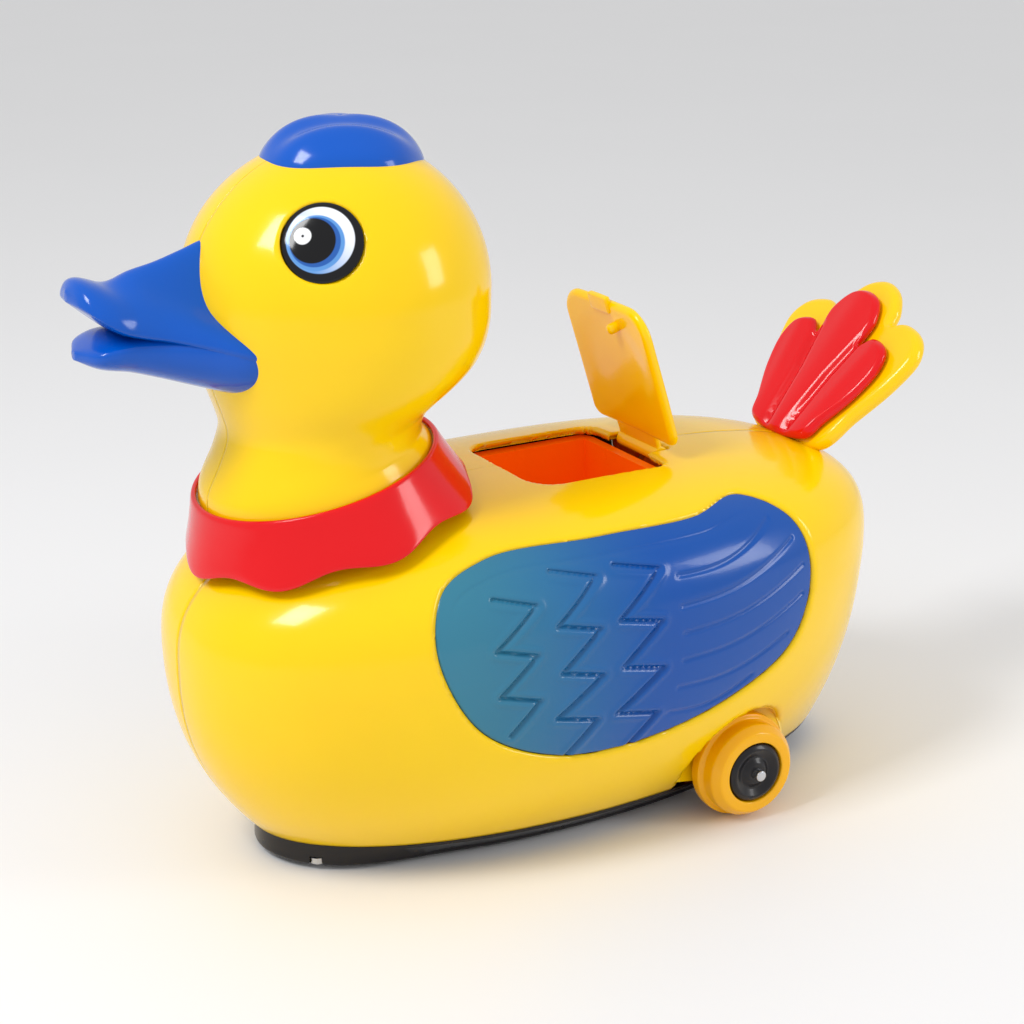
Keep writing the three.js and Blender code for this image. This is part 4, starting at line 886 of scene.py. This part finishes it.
# ---------- rear wheels ----------
def wheel_parts(side):
    """A rear wheel and its hub cap: stepped profiles turned about the axle, with rounded corners."""
    bore, inner = WHEEL["bore"], WHEEL["inner"]
    wheel = [(bore, 0), (13.3, 0), (14.5, 1.2), (14.5, 4.2), (13.1, 4.6), (13.1, 8.2), (11.3, 10.6),
             (8.5, 10.6), (8.5, 5.5), (bore, 5.5)]
    hub = [(bore, 5.8), (8.2, 5.8), (8.2, 10.2), (6.8, 11.2), (4.4, 9.8), (2.8, 11.0), (bore, 11.0)]
    centre = REAR_AXLE[0], REAR_AXLE[2]
    placed = [[(radius, inner + place) for radius, place in profile] for profile in (wheel, hub)]
    return [lathe(softened(profile, WHEEL["corner"]), centre, side) for profile in placed]


def slab(span_x, span_y, span_z, corner):
    """A block with rounded edges: a sphere's grid whose points are pushed out towards the block's corners."""
    rows, columns, push = 33, 64, 1.8
    turn = np.linspace(0, 2 * np.pi, columns, endpoint=False)[None, :] + 1e-3
    rise = np.linspace(-np.pi / 2, np.pi / 2, rows)[:, None]
    direction = [np.cos(rise) * np.cos(turn), np.cos(rise) * np.sin(turn), np.sin(rise) + 0 * turn]
    spans = (span_x, span_y, span_z)
    sizes = [(high - low) / 2 - corner for low, high in spans]
    shares = [np.clip(part * push / np.max(np.abs(direction), axis=0), -1, 1) for part in direction]
    places = [(low + high) / 2 + size * share + corner * part
              for (low, high), size, share, part in zip(spans, sizes, shares, direction)]
    return grid(*places), quads(rows, columns, wrap_columns=True)


def lathe(profile, axis_at, along=1, around=128):
    """A profile of (radius, place) points turned about an axis along Y that passes through axis_at in (x, z).

    The profile starts and ends on the axis, or closes on itself where its first radius isn't 0.
    """
    radius, place = np.array(profile, float).T
    turn = np.linspace(0, 2 * np.pi, around, endpoint=False)[None, :]
    a, b = radius[:, None] * np.cos(turn), radius[:, None] * np.sin(turn)
    c = along * place[:, None] + 0 * turn
    surface = grid(axis_at[0] + a, c, axis_at[1] + b)
    return surface, quads(len(profile), around, wrap_rows=bool(profile[0][0] > 0), wrap_columns=True)


def softened(profile, radius, steps=5):
    """A profile whose corners, all but its two ends, are replaced by quadratic curves.

    Each curve starts a radius before its corner, or less where the stretch is short.
    """
    points = np.array(profile, float)
    made = [points[0]]
    for before, corner, after in zip(points, points[1:], points[2:]):
        reach = [min(radius, np.linalg.norm(other - corner) / 2.2) for other in (before, after)]
        start = corner + (before - corner) * reach[0] / np.linalg.norm(before - corner)
        end = corner + (after - corner) * reach[1] / np.linalg.norm(after - corner)
        for t in np.linspace(0, 1, steps):
            made.append(start * (1 - t) ** 2 + 2 * corner * t * (1 - t) + end * t * t)
    return made + [points[-1]]


def rod(axis_at, radius, start, end, around=64):
    """A rod along Y with slightly rounded ends."""
    profile = softened([(0, start), (radius, start), (radius, end), (0, end)], min(0.4, radius / 2))
    return lathe(profile, axis_at, around=around)


# ---------- base ----------
BASE = {
    "bottom": 1.5, "floor": 3.5, "top": 7.5, "inset": 1, "wall": 2, "draft_front": 1, "draft": 9,
    "turret_hole": 22.4, "battery": (-15.9, 33.2), "battery_half": 28.6, "tab": 6, "tab_half": 5,
    "switch": (46.5, 56.5), "switch_half": 2.2, "grille": 67.5, "grille_pitch": 3, "grille_slot": 1.4,
    "grille_half": 7, "grille_count": 5, "screw_head": 2.7, "foot_radius": 1.2, "rim": 0.8,
}


def prism(low, high, corner, bottom, top):
    """A closed upright prism over a rounded rectangle."""
    loop = rounded_loop(low, high, (corner,) * 4, 1)
    middle = loop.mean(axis=0) + 0 * loop
    rows = [np.column_stack([flat, np.full(len(flat), z)])
            for flat, z in ((middle, bottom), (loop, bottom), (loop, top), (middle, top))]
    return np.concatenate(rows), quads(4, len(loop), wrap_columns=True)


def base_tray():
    """The base: a shallow tray whose rim fills the casing's edge and whose wall leans in below it.

    Its outlines are the body's lowest one, drawn in by each row's inset, or a point where a row has none.
    The wall leans in little in front, and more along the sides and behind.
    """
    turn = np.linspace(0, 2 * np.pi, 260, endpoint=False)
    more = BASE["draft"] - BASE["draft_front"]
    draft = BASE["draft_front"] + more * smoothstep(np.cos(turn), -0.95, -0.45)
    curve = np.linspace(0, np.pi / 2, 7)
    inset, wall, foot = BASE["inset"], BASE["wall"], BASE["foot_radius"]
    rows = [(inset, BASE["top"]), (inset, BASE["top"] - BASE["rim"])]
    rows += [(inset + draft - foot + foot * (1 - np.cos(a)), BASE["bottom"] + foot - foot * np.sin(a))
             for a in curve]
    rows += [(None, BASE["bottom"]), (None, BASE["floor"]), (inset + wall + draft, BASE["floor"]),
             (inset + wall, BASE["top"])]
    made = []
    for row_inset, z in rows:
        x, y, _ = body_point(-1.0, turn, 0 if row_inset is None else row_inset)
        spread = 0 if row_inset is None else 1
        made.append(np.column_stack([x * spread, y * spread, np.full(turn.size, z)]))
    return np.concatenate(made), quads(len(rows), turn.size, True, True)


def base_cutters():
    """What is taken from the tray: the turret's hole, the battery opening and its tab's notch, the switch's
    slot, the grille and the screws' holes."""
    through = BASE["floor"] + 1

    def hole(x, y, radius, top):
        return prism((x - radius, y - radius), (x + radius, y + radius), radius, 0, top)

    def slot(front, rear, half, corner=0.6):
        return prism((front, -half), (rear, half), corner, 0, through)

    front, rear = BASE["battery"]
    cutters = [
        hole(TURRET[0], TURRET[1], BASE["turret_hole"], through),
        slot(front, rear, BASE["battery_half"]),
        slot(rear - 1, rear + BASE["tab"], BASE["tab_half"]),
        slot(*BASE["switch"], BASE["switch_half"], 0.5),
    ]
    for i in range(BASE["grille_count"]):
        x = BASE["grille"] + i * BASE["grille_pitch"]
        cutters.append(slot(x, x + BASE["grille_slot"], BASE["grille_half"]))
    for i in range(1, 5):
        low, high = node_box(f"base_screw_{i}")
        x, y = ((low + high) / 2)[:2]
        cutters.append(hole(x, y, BASE["screw_head"], BASE["floor"] + 0.5))
    return cutters


# ---------- finishes ----------
def srgb(red, green, blue):
    """A screen colour from 0 to 255 as linear light, by the sRGB curve."""
    def linear(share):
        return share / 12.92 if share <= 0.04045 else ((share + 0.055) / 1.055) ** 2.4

    return tuple(linear(channel / 255) for channel in (red, green, blue)) + (1,)


def node(tree, kind, inputs=None, **settings):
    """A shader node with its settings made and its inputs set or linked."""
    made = tree.nodes.new("ShaderNode" + kind)
    for name, value in settings.items():
        setattr(made, name, value)
    for socket, value in (inputs or {}).items():
        if isinstance(value, bpy.types.NodeSocket):
            tree.links.new(value, made.inputs[socket])
        else:
            made.inputs[socket].default_value = value
    return made


def sums(tree, operation, *values):
    """The result of a maths node."""
    return node(tree, "Math", dict(enumerate(values)), operation=operation).outputs[0]


def noise(tree, place, scale, detail=2.0):
    """Noise from 0 to 1 at a scale per metre."""
    return node(tree, "TexNoise", {"Vector": place, "Scale": scale, "Detail": detail}).outputs["Fac"]


def mixed(tree, share, first, second):
    """A colour between two colours."""
    mix = node(tree, "Mix", data_type="RGBA", clamp_factor=True)
    for socket, value in zip((mix.inputs[0], mix.inputs[6], mix.inputs[7]), (share, first, second)):
        if isinstance(value, bpy.types.NodeSocket):
            tree.links.new(value, socket)
        else:
            socket.default_value = value
    return mix.outputs[2]


def scaled(colour, factor):
    """A colour made lighter or darker."""
    return tuple(min(channel * factor, 1) for channel in colour[:3]) + (1,)


def material_with(name, colour, roughness, **sockets):
    """A finish. Its colour is one that slow noise makes drift, or what colour(tree, place) builds, darkened
    a little by the same noise.

    Fine noise gives the moulded skin its bump, and slower noise makes its gloss uneven.
    """
    look = bpy.context.scene.toy_duck_finish
    material = bpy.data.materials.new(name)
    material.use_nodes = True
    tree = material.node_tree
    shader = tree.nodes["Principled BSDF"]
    place = node(tree, "TexCoord").outputs["Object"]
    cloud = noise(tree, place, 38.0)
    if callable(colour):
        tone = colour(tree, place)
        tone = mixed(tree, sums(tree, "MULTIPLY", cloud, look.variation * 2), tone, (0, 0, 0, 1))
    else:
        tone = mixed(tree, cloud, scaled(colour, 1 - look.variation), scaled(colour, 1 + look.variation))
    tree.links.new(tone, shader.inputs["Base Color"])
    gloss = node(tree, "MapRange", {"Value": noise(tree, place, 70.0, 4.0), "From Min": 0.3, "From Max": 0.7,
                                    "To Min": roughness * 0.85, "To Max": roughness * 1.2})
    tree.links.new(gloss.outputs[0], shader.inputs["Roughness"])
    ripple = noise(tree, place, 260.0, 1.0)
    skin = node(tree, "Bump", {"Height": ripple, "Distance": look.skin, "Strength": 1.0})
    tree.links.new(skin.outputs[0], shader.inputs["Normal"])
    for socket, value in sockets.items():
        shader.inputs[socket.replace("_", " ").title().replace("Ior", "IOR")].default_value = value
    return material


def wing_colour_with_painted_reflection(tree, place):
    """Teal at the wing's front turning to deep blue at its rear, along the duck's length. The teal is partly a
    painted reflection of the surroundings and partly the real panel's tint, where its yellow backing shows
    through.
    """
    teal_end, blue_start = (MIDDLE_X - 50) * MM, (MIDDLE_X + 14) * MM
    x = node(tree, "SeparateXYZ", {0: place}).outputs["X"]
    share = node(tree, "MapRange", {"Value": x, "From Min": teal_end, "From Max": blue_start},
                 interpolation_type="SMOOTHSTEP").outputs[0]
    # painted reflection: the teal front stands partly for the surroundings mirrored in the wing
    return mixed(tree, share, srgb(52, 124, 150), srgb(2, 78, 166))


def disc_distance(tree, disc, x, y):
    """The distance on the print from (x, y), in radii."""
    return node(tree, "VectorMath", {0: disc, 1: (x, y, 0)}, operation="DISTANCE").outputs["Value"]


def eye_colour(tree, place):
    """The printed eye: circles in the disc's own coordinates, each laid over the one before.

    A slanting blend of pale blues lies under them, and a black rim over them all.
    """
    blur = 0.012
    disc = node(tree, "UVMap", uv_map="disc").outputs[0]
    parts = node(tree, "SeparateXYZ", {0: disc})
    slant = sums(tree, "ADD", parts.outputs["X"], parts.outputs["Y"])
    share = node(tree, "MapRange", {"Value": slant, "From Min": -0.9, "From Max": 0.7}).outputs[0]
    colour = mixed(tree, share, srgb(105, 158, 222), srgb(238, 242, 250))
    circles = [((-0.12, -0.04), 0.69, srgb(92, 150, 216)), ((-0.15, -0.02), 0.62, srgb(38, 92, 172)),
               ((-0.21, 0.01), 0.56, srgb(4, 4, 8)),
               ((-0.45, 0.12), 0.21, srgb(245, 247, 250)), ((-0.45, 0.12), 0.035, srgb(10, 10, 14))]
    for (x, y), radius, paint in circles:
        distance = disc_distance(tree, disc, x, y)
        inside = node(tree, "MapRange", {"Value": distance, "From Min": radius + blur,
                                         "From Max": radius - blur})
        colour = mixed(tree, inside.outputs[0], colour, paint)
    outside = node(tree, "MapRange", {"Value": disc_distance(tree, disc, -0.03, 0.04), "From Min": 0.818,
                                      "From Max": 0.842})
    return mixed(tree, outside.outputs[0], colour, srgb(10, 10, 16))


def board_colour(tree, place):
    """Green lacquer with lighter tracks where a wave pattern peaks."""
    tracks = node(tree, "TexWave", {"Vector": place, "Scale": 260.0, "Distortion": 3.0}).outputs["Fac"]
    peaks = node(tree, "MapRange", {"Value": tracks, "From Min": 0.82, "From Max": 0.9}).outputs[0]
    return mixed(tree, peaks, srgb(20, 88, 48), srgb(70, 140, 84))


def wrapper_colour(tree, place):
    """A plain dark battery wrapper with a coppery band at one end of every cell."""
    y = node(tree, "SeparateXYZ", {0: place}).outputs["Y"]
    band = node(tree, "MapRange", {"Value": y, "From Min": 0.010, "From Max": 0.0105}).outputs[0]
    return mixed(tree, band, srgb(30, 30, 34), srgb(176, 112, 60))


FINISHES = {}


def make_finishes():
    """Every finish of the toy, by name."""
    look = bpy.context.scene.toy_duck_finish
    coat = {"coat_weight": look.coat, "coat_roughness": 0.05, "specular_ior_level": 0.3}
    clear = {"subsurface_weight": 0.05, "subsurface_radius": (0.004, 0.002, 0.0005),
             "subsurface_scale": 1.0}
    FINISHES.update({
        "yellow": material_with("yellow_moulding", tuple(look.yellow) + (1,), look.roughness, **coat,
                                **clear),
        "wheel": material_with("wheel_moulding", srgb(248, 180, 2), look.roughness, **coat, **clear),
        # painted glow: a faint orange emission makes the egg chute shine though it is no lamp
        "amber": material_with("amber_moulding", srgb(250, 112, 0), 0.3, emission_color=srgb(236, 84, 0),
                               emission_strength=0.16, **coat),
        "blue": material_with("blue_moulding", tuple(look.blue) + (1,), look.roughness, **coat),
        "wing": material_with("wing_moulding", wing_colour_with_painted_reflection, look.roughness * 1.3, **coat),
        "red": material_with("red_moulding", tuple(look.red) + (1,), look.roughness, **coat),
        "eye": material_with("eye_print", eye_colour, 0.12, **coat),
        "black": material_with("black_moulding", srgb(20, 18, 22), 0.3, **coat),
        "nylon": material_with("natural_nylon", srgb(226, 222, 206), 0.42, subsurface_weight=0.2),
        "lens": material_with("red_lens", srgb(214, 24, 18), 0.1, transmission_weight=0.7, ior=1.49),
        "board": material_with("lacquered_board", board_colour, 0.35),
        "rubber": material_with("tyre_rubber", srgb(24, 24, 25), 0.75),
        "steel": material_with("plated_steel", srgb(196, 198, 202), 0.26, metallic=1.0),
        "wrapper": material_with("cell_wrapper", wrapper_colour, 0.3, **coat),
    })


CARRIED = {
    "amber": ("egg_chute",),
    "black": ("battery_door", "battery_tray", "speaker", "power_switch", "switch_knob", "turret_ring"),
    "wrapper": ("battery_cell_1", "battery_cell_2", "battery_cell_3"),
    "nylon": ("egg_release_wheel", "release_gear", "turret_frame", "drive_axle_gear", "drive_wheel_left",
              "drive_wheel_right", "idler_gear", "motor_strap"),
    "lens": ("wing_lamp_left", "wing_lamp_right"),
    "board": ("sound_board",),
    "rubber": ("drive_tyre_left", "drive_tyre_right"),
    "steel": ("lid_hinge_pin", "release_worm", "release_motor", "outlet_flap_pin", "base_screw_1",
              "base_screw_2", "base_screw_3", "base_screw_4", "battery_contact_left",
              "battery_contact_right", "battery_door_screw", "drive_axle", "motor_pinion", "drive_motor"),
}


# ---------- properties ----------
class ToyDuckShape(bpy.types.PropertyGroup):
    """Sizes of the fine shells."""
    wall: bpy.props.FloatProperty(name="Wall", description="Thickness of the moulded walls", default=0.0022,
                                  min=0.001, max=0.003, precision=4, unit="LENGTH")
    lip: bpy.props.FloatProperty(name="Edge radius", default=0.0007, min=0.0001, max=0.0015, precision=4,
                                 description="Radius of the rolled edge round every opening", unit="LENGTH")
    groove: bpy.props.FloatProperty(name="Feather depth", description="Depth of the engraved feather lines",
                                    default=0.0009, min=0.0, max=0.0012, precision=4, unit="LENGTH")
    waves: bpy.props.IntProperty(name="Collar waves", default=8, min=3, max=20,
                                 description="How many waves run round the collar's hem")
    wave_depth: bpy.props.FloatProperty(name="Wave depth", default=0.0011, min=0.0, max=0.002, precision=4,
                                        description="How far the collar's waves move its hem", unit="LENGTH")
    eye_radius: bpy.props.FloatProperty(name="Eye radius", description="Radius of the printed eye discs",
                                        default=0.0097, min=0.006, max=0.0104, precision=4, unit="LENGTH")


class ToyDuckFinish(bpy.types.PropertyGroup):
    """Colours and gloss of the mouldings."""
    yellow: bpy.props.FloatVectorProperty(name="Yellow", description="Colour of the body and head",
                                          default=srgb(255, 207, 0)[:3], min=0, max=1, subtype="COLOR")
    blue: bpy.props.FloatVectorProperty(name="Blue", description="Colour of the bill and tuft",
                                        default=srgb(0, 84, 188)[:3], min=0, max=1, subtype="COLOR")
    red: bpy.props.FloatVectorProperty(name="Red", description="Colour of the collar and the tail's front",
                                       default=srgb(222, 4, 16)[:3], min=0, max=1, subtype="COLOR")
    roughness: bpy.props.FloatProperty(name="Roughness", description="Roughness of the glossy mouldings",
                                       default=0.16, min=0, max=1, subtype="FACTOR")
    coat: bpy.props.FloatProperty(name="Coat", description="Weight of the clear shine on the mouldings",
                                  default=0.15, min=0, max=1, subtype="FACTOR")
    variation: bpy.props.FloatProperty(name="Colour drift", default=0.035, min=0, max=0.2, subtype="FACTOR",
                                       description="How far a moulding's colour drifts")
    skin: bpy.props.FloatProperty(name="Skin depth", default=0.00003, min=0, max=0.0005, precision=5,
                                  description="Height of the fine ripple in a moulding's skin", unit="LENGTH")


class ToyDuckStage(bpy.types.PropertyGroup):
    """Camera, floor and light."""
    azimuth: bpy.props.FloatProperty(name="Camera azimuth", description="Camera direction round the toy",
                                     default=math.radians(-30), unit="ROTATION")
    elevation: bpy.props.FloatProperty(name="Camera elevation", default=math.radians(19), unit="ROTATION",
                                       description="Camera height above the horizon")
    distance: bpy.props.FloatProperty(name="Camera distance", description="Camera distance from its target",
                                      default=0.6, min=0.2, unit="LENGTH")
    lens: bpy.props.FloatProperty(name="Lens", description="Focal length in millimetres", default=79,
                                  min=20, unit="CAMERA")
    key: bpy.props.FloatProperty(name="Key light", description="Power of the large soft light", default=4.5,
                                 min=0, unit="POWER")
    fill: bpy.props.FloatProperty(name="Fill light", description="Power of the smaller light opposite",
                                  default=1.6, min=0, unit="POWER")
    sky: bpy.props.FloatProperty(name="Surroundings", description="Strength of the even pale surroundings",
                                 default=0.72, min=0)


def sizes():
    """The lengths among the shape properties, in millimetres."""
    shape = bpy.context.scene.toy_duck_shape
    lengths = ("wall", "lip", "groove", "wave_depth", "eye_radius")
    return {name: getattr(shape, name) / MM for name in lengths}


# ---------- operators ----------
class PieceOperator:
    """What the operators share: they can be undone."""
    bl_options = {"REGISTER", "UNDO"}


class TOYDUCK_OT_finishes(PieceOperator, bpy.types.Operator):
    """Makes the finishes and gives them to the parts of the frame that stay visible"""
    bl_idname = "toy_duck.finishes"
    bl_label = "Finishes"

    def execute(self, context):
        make_finishes()
        for finish, names in CARRIED.items():
            for name in names:
                mesh = frame["nodes"][name].data
                mesh.materials.clear()
                mesh.materials.append(FINISHES[finish])
        return {"FINISHED"}


class TOYDUCK_OT_body(PieceOperator, bpy.types.Operator):
    """Builds the two halves of the body casing and the cups round the rear wheels"""
    bl_idname = "toy_duck.body"
    bl_label = "Body shells"

    def execute(self, context):
        size = sizes()
        for name, side in SIDES:
            build_piece("body_skin_" + name, body_half(side, size["lip"]), "casing", FINISHES["yellow"],
                        ["body_shell_" + name], inside=(0, 0, 50), wall=size["wall"])
            build_piece("wheel_arch_" + name, arch_liner(side), "casing", FINISHES["yellow"])
        return {"FINISHED"}


class TOYDUCK_OT_base(PieceOperator, bpy.types.Operator):
    """Builds the base tray with its openings"""
    bl_idname = "toy_duck.base"
    bl_label = "Base tray"

    def execute(self, context):
        tray = build_piece("base_tray", base_tray(), "casing", FINISHES["black"],
                           ["base_plate"])
        combine(tray, [helper(cutter) for cutter in base_cutters()], "DIFFERENCE")
        return {"FINISHED"}


class TOYDUCK_OT_head(PieceOperator, bpy.types.Operator):
    """Builds the two halves of the head and the printed eyes"""
    bl_idname = "toy_duck.head"
    bl_label = "Head and eyes"

    def execute(self, context):
        size = sizes()
        for name, side in SIDES:
            radius = size["eye_radius"]
            build_piece("head_skin_" + name, head_half(side, radius, EYE["lip"]), "casing",
                        FINISHES["yellow"], ["head_shell_" + name],
                        inside=(HEAD["x"], 0, HEAD["z"]), wall=size["wall"] - 0.2)
            points, faces, disc = eye_disc(side, radius)
            build_piece("eye_print_" + name, (points, faces), "casing", FINISHES["eye"],
                        ["eye_" + name], disc=disc)
        return {"FINISHED"}


class TOYDUCK_OT_bill(PieceOperator, bpy.types.Operator):
    """Builds the bill, its two halves joined into one, and the tuft"""
    bl_idname = "toy_duck.bill"
    bl_label = "Bill and tuft"

    def execute(self, context):
        bill = build_piece("bill", upper_bill(), "casing", FINISHES["blue"], ["beak"])
        combine(bill, [helper(lower_bill())], "UNION")
        build_piece("tuft", tuft(), "casing", FINISHES["blue"], ["comb"])
        return {"FINISHED"}


class TOYDUCK_OT_collar(PieceOperator, bpy.types.Operator):
    """Builds the wavy collar"""
    bl_idname = "toy_duck.collar"
    bl_label = "Collar"

    def execute(self, context):
        waves = context.scene.toy_duck_shape.waves
        build_piece("neck_collar", collar_ring(waves, sizes()["wave_depth"]), "casing", FINISHES["red"],
                    ["collar"])
        return {"FINISHED"}


class TOYDUCK_OT_wings(PieceOperator, bpy.types.Operator):
    """Builds the two wings with their engraved feathers"""
    bl_idname = "toy_duck.wings"
    bl_label = "Wings"

    def execute(self, context):
        size = sizes()
        for name, side in SIDES:
            build_piece("wing_panel_" + name, wing_panel(side, size["groove"], size["lip"]), "casing",
                        FINISHES["wing"], ["wing_" + name], inside=(0, 0, 60),
                        wall=size["wall"])
        return {"FINISHED"}


class TOYDUCK_OT_tail(PieceOperator, bpy.types.Operator):
    """Builds the yellow fan and the red fan in front of it"""
    bl_idname = "toy_duck.tail"
    bl_label = "Tail"

    def execute(self, context):
        behind = TAIL["thickness"]
        for name, finish, old, outline, thickness, forward, relief in (
                ("tail_fan_yellow", "yellow", "tail_back", YELLOW_FAN, behind, -behind, None),
                ("tail_fan_red", "red", "tail_front", RED_FAN, TAIL["red_thickness"], GAP, tail_relief)):
            points, faces = plate(fan_loop(outline), (0, 20), 90, thickness, relief)
            build_piece(name, (stand_tail(points, forward), faces), "casing", FINISHES[finish],
                        [old])
        return {"FINISHED"}


class TOYDUCK_OT_lid(PieceOperator, bpy.types.Operator):
    """Builds the egg hatch's lid, standing open on its hinge, and the egg flap at the rear"""
    bl_idname = "toy_duck.lid"
    bl_label = "Lid and flap"

    def execute(self, context):
        for name, body, old, parts in (("hatch_lid", "lid", "lid", lid_parts()),
                                       ("egg_flap", "flap", "outlet_flap", flap_parts())):
            piece = build_piece(name, parts[0], body, FINISHES["yellow"], [old])
            combine(piece, [helper(part) for part in parts[1:]], "UNION")
        return {"FINISHED"}


class TOYDUCK_OT_wheels(PieceOperator, bpy.types.Operator):
    """Builds the rear wheels, their hub caps and their axle"""
    bl_idname = "toy_duck.wheels"
    bl_label = "Rear wheels"

    def execute(self, context):
        for name, side in SIDES:
            wheel, hub = wheel_parts(side)
            build_piece("wheel_" + name, wheel, "rear_wheels", FINISHES["wheel"],
                        ["rear_wheel_" + name], sharp=50)
            build_piece("hub_cap_" + name, hub, "rear_wheels", FINISHES["black"],
                        ["rear_hub_" + name], sharp=50)
        half = AXLE["half_length"]
        axle = rod((REAR_AXLE[0], REAR_AXLE[2]), AXLE["radius"], -half, half)
        build_piece("wheel_axle", axle, "rear_wheels", FINISHES["steel"], ["rear_axle"])
        return {"FINISHED"}


def area_light(name, place, target, width, height, watts):
    """A soft rectangular light that faces its target."""
    light = bpy.data.lights.new(name, "AREA")
    light.shape = "RECTANGLE"
    light.size, light.size_y, light.energy = width, height, watts
    lamp = bpy.data.objects.new(name, light)
    lamp.location = place
    lamp.rotation_euler = (Vector(target) - Vector(place)).to_track_quat("-Z", "Y").to_euler()
    bpy.context.scene.collection.objects.link(lamp)


def pale_paint(name, colour):
    """The floor's pale matt paint, with a barely uneven tone."""
    material = bpy.data.materials.new(name)
    material.use_nodes = True
    tree = material.node_tree
    shader = tree.nodes["Principled BSDF"]
    cloud = noise(tree, node(tree, "TexCoord").outputs["Object"], 6.0)
    tone = mixed(tree, cloud, scaled(colour, 0.99), scaled(colour, 1.01))
    tree.links.new(tone, shader.inputs["Base Color"])
    shader.inputs["Roughness"].default_value = 0.55
    return material


class TOYDUCK_OT_stage(PieceOperator, bpy.types.Operator):
    """Sets up the pale floor, the soft lights, the surroundings and the camera"""
    bl_idname = "toy_duck.stage"
    bl_label = "Stage"

    def execute(self, context):
        stage = context.scene.toy_duck_stage
        reach = 3.0
        mesh = bpy.data.meshes.new("floor")
        corners = [(-reach, -reach, 0), (reach, -reach, 0), (reach, reach, 0), (-reach, reach, 0)]
        mesh.from_pydata(corners, [], [(0, 1, 2, 3)])
        mesh.materials.append(pale_paint("floor_paint", (0.86, 0.86, 0.87, 1)))
        floor = bpy.data.objects.new("floor", mesh)
        context.scene.collection.objects.link(floor)
        target = Vector((-0.0039, 0, 0.0815))
        area_light("key", (-0.62, -0.12, 0.78), target, 0.24, 0.34, stage.key)
        area_light("fill", (0.6, -0.55, 0.35), target, 0.22, 0.34, stage.fill)
        world = bpy.data.worlds.new("surroundings")
        world.use_nodes = True
        background = world.node_tree.nodes["Background"]
        background.inputs["Color"].default_value = (1, 1, 1, 1)
        background.inputs["Strength"].default_value = stage.sky
        context.scene.world = world
        context.scene.view_settings.view_transform = "Standard"
        camera = bpy.data.objects.new("camera", bpy.data.cameras.new("camera"))
        camera.data.lens = stage.lens
        level = math.cos(stage.elevation)
        away = Vector((math.sin(stage.azimuth) * level, -math.cos(stage.azimuth) * level,
                       math.sin(stage.elevation)))
        camera.location = target + away * stage.distance
        camera.rotation_euler = (-away).to_track_quat("-Z", "Y").to_euler()
        context.scene.collection.objects.link(camera)
        context.scene.camera = camera
        return {"FINISHED"}


OPERATORS = (TOYDUCK_OT_finishes, TOYDUCK_OT_body, TOYDUCK_OT_base, TOYDUCK_OT_head, TOYDUCK_OT_bill,
             TOYDUCK_OT_collar, TOYDUCK_OT_wings, TOYDUCK_OT_tail, TOYDUCK_OT_lid, TOYDUCK_OT_wheels,
             TOYDUCK_OT_stage)


class TOYDUCK_PT_panel(bpy.types.Panel):
    """Lists the toy's pieces and their settings"""
    bl_idname = "TOYDUCK_PT_panel"
    bl_label = "Toy Duck"
    bl_space_type = "VIEW_3D"
    bl_region_type = "UI"
    bl_category = "Toy Duck"

    def draw(self, context):
        for group_name, _ in GROUPS:
            group = getattr(context.scene, group_name)
            box = self.layout.box()
            for name in group.__annotations__:
                box.prop(group, name)
        for operator in OPERATORS:
            self.layout.operator(operator.bl_idname)


GROUPS = (("toy_duck_shape", ToyDuckShape), ("toy_duck_finish", ToyDuckFinish),
          ("toy_duck_stage", ToyDuckStage))


def register():
    """Registers the classes and gives the scene its properties."""
    for _, group in GROUPS:
        bpy.utils.register_class(group)
    for name, group in GROUPS:
        setattr(bpy.types.Scene, name, bpy.props.PointerProperty(type=group))
    for operator in OPERATORS:
        bpy.utils.register_class(operator)
    bpy.utils.register_class(TOYDUCK_PT_panel)


def unregister():
    """Takes away what register added."""
    bpy.utils.unregister_class(TOYDUCK_PT_panel)
    for operator in reversed(OPERATORS):
        bpy.utils.unregister_class(operator)
    for name, group in reversed(GROUPS):
        delattr(bpy.types.Scene, name)
        bpy.utils.unregister_class(group)


def main():
    """Registers the add-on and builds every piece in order."""
    register()
    for operator in OPERATORS:
        family, name = operator.bl_idname.split(".")
        getattr(getattr(bpy.ops, family), name)()


if __name__ == "__main__":
    main()
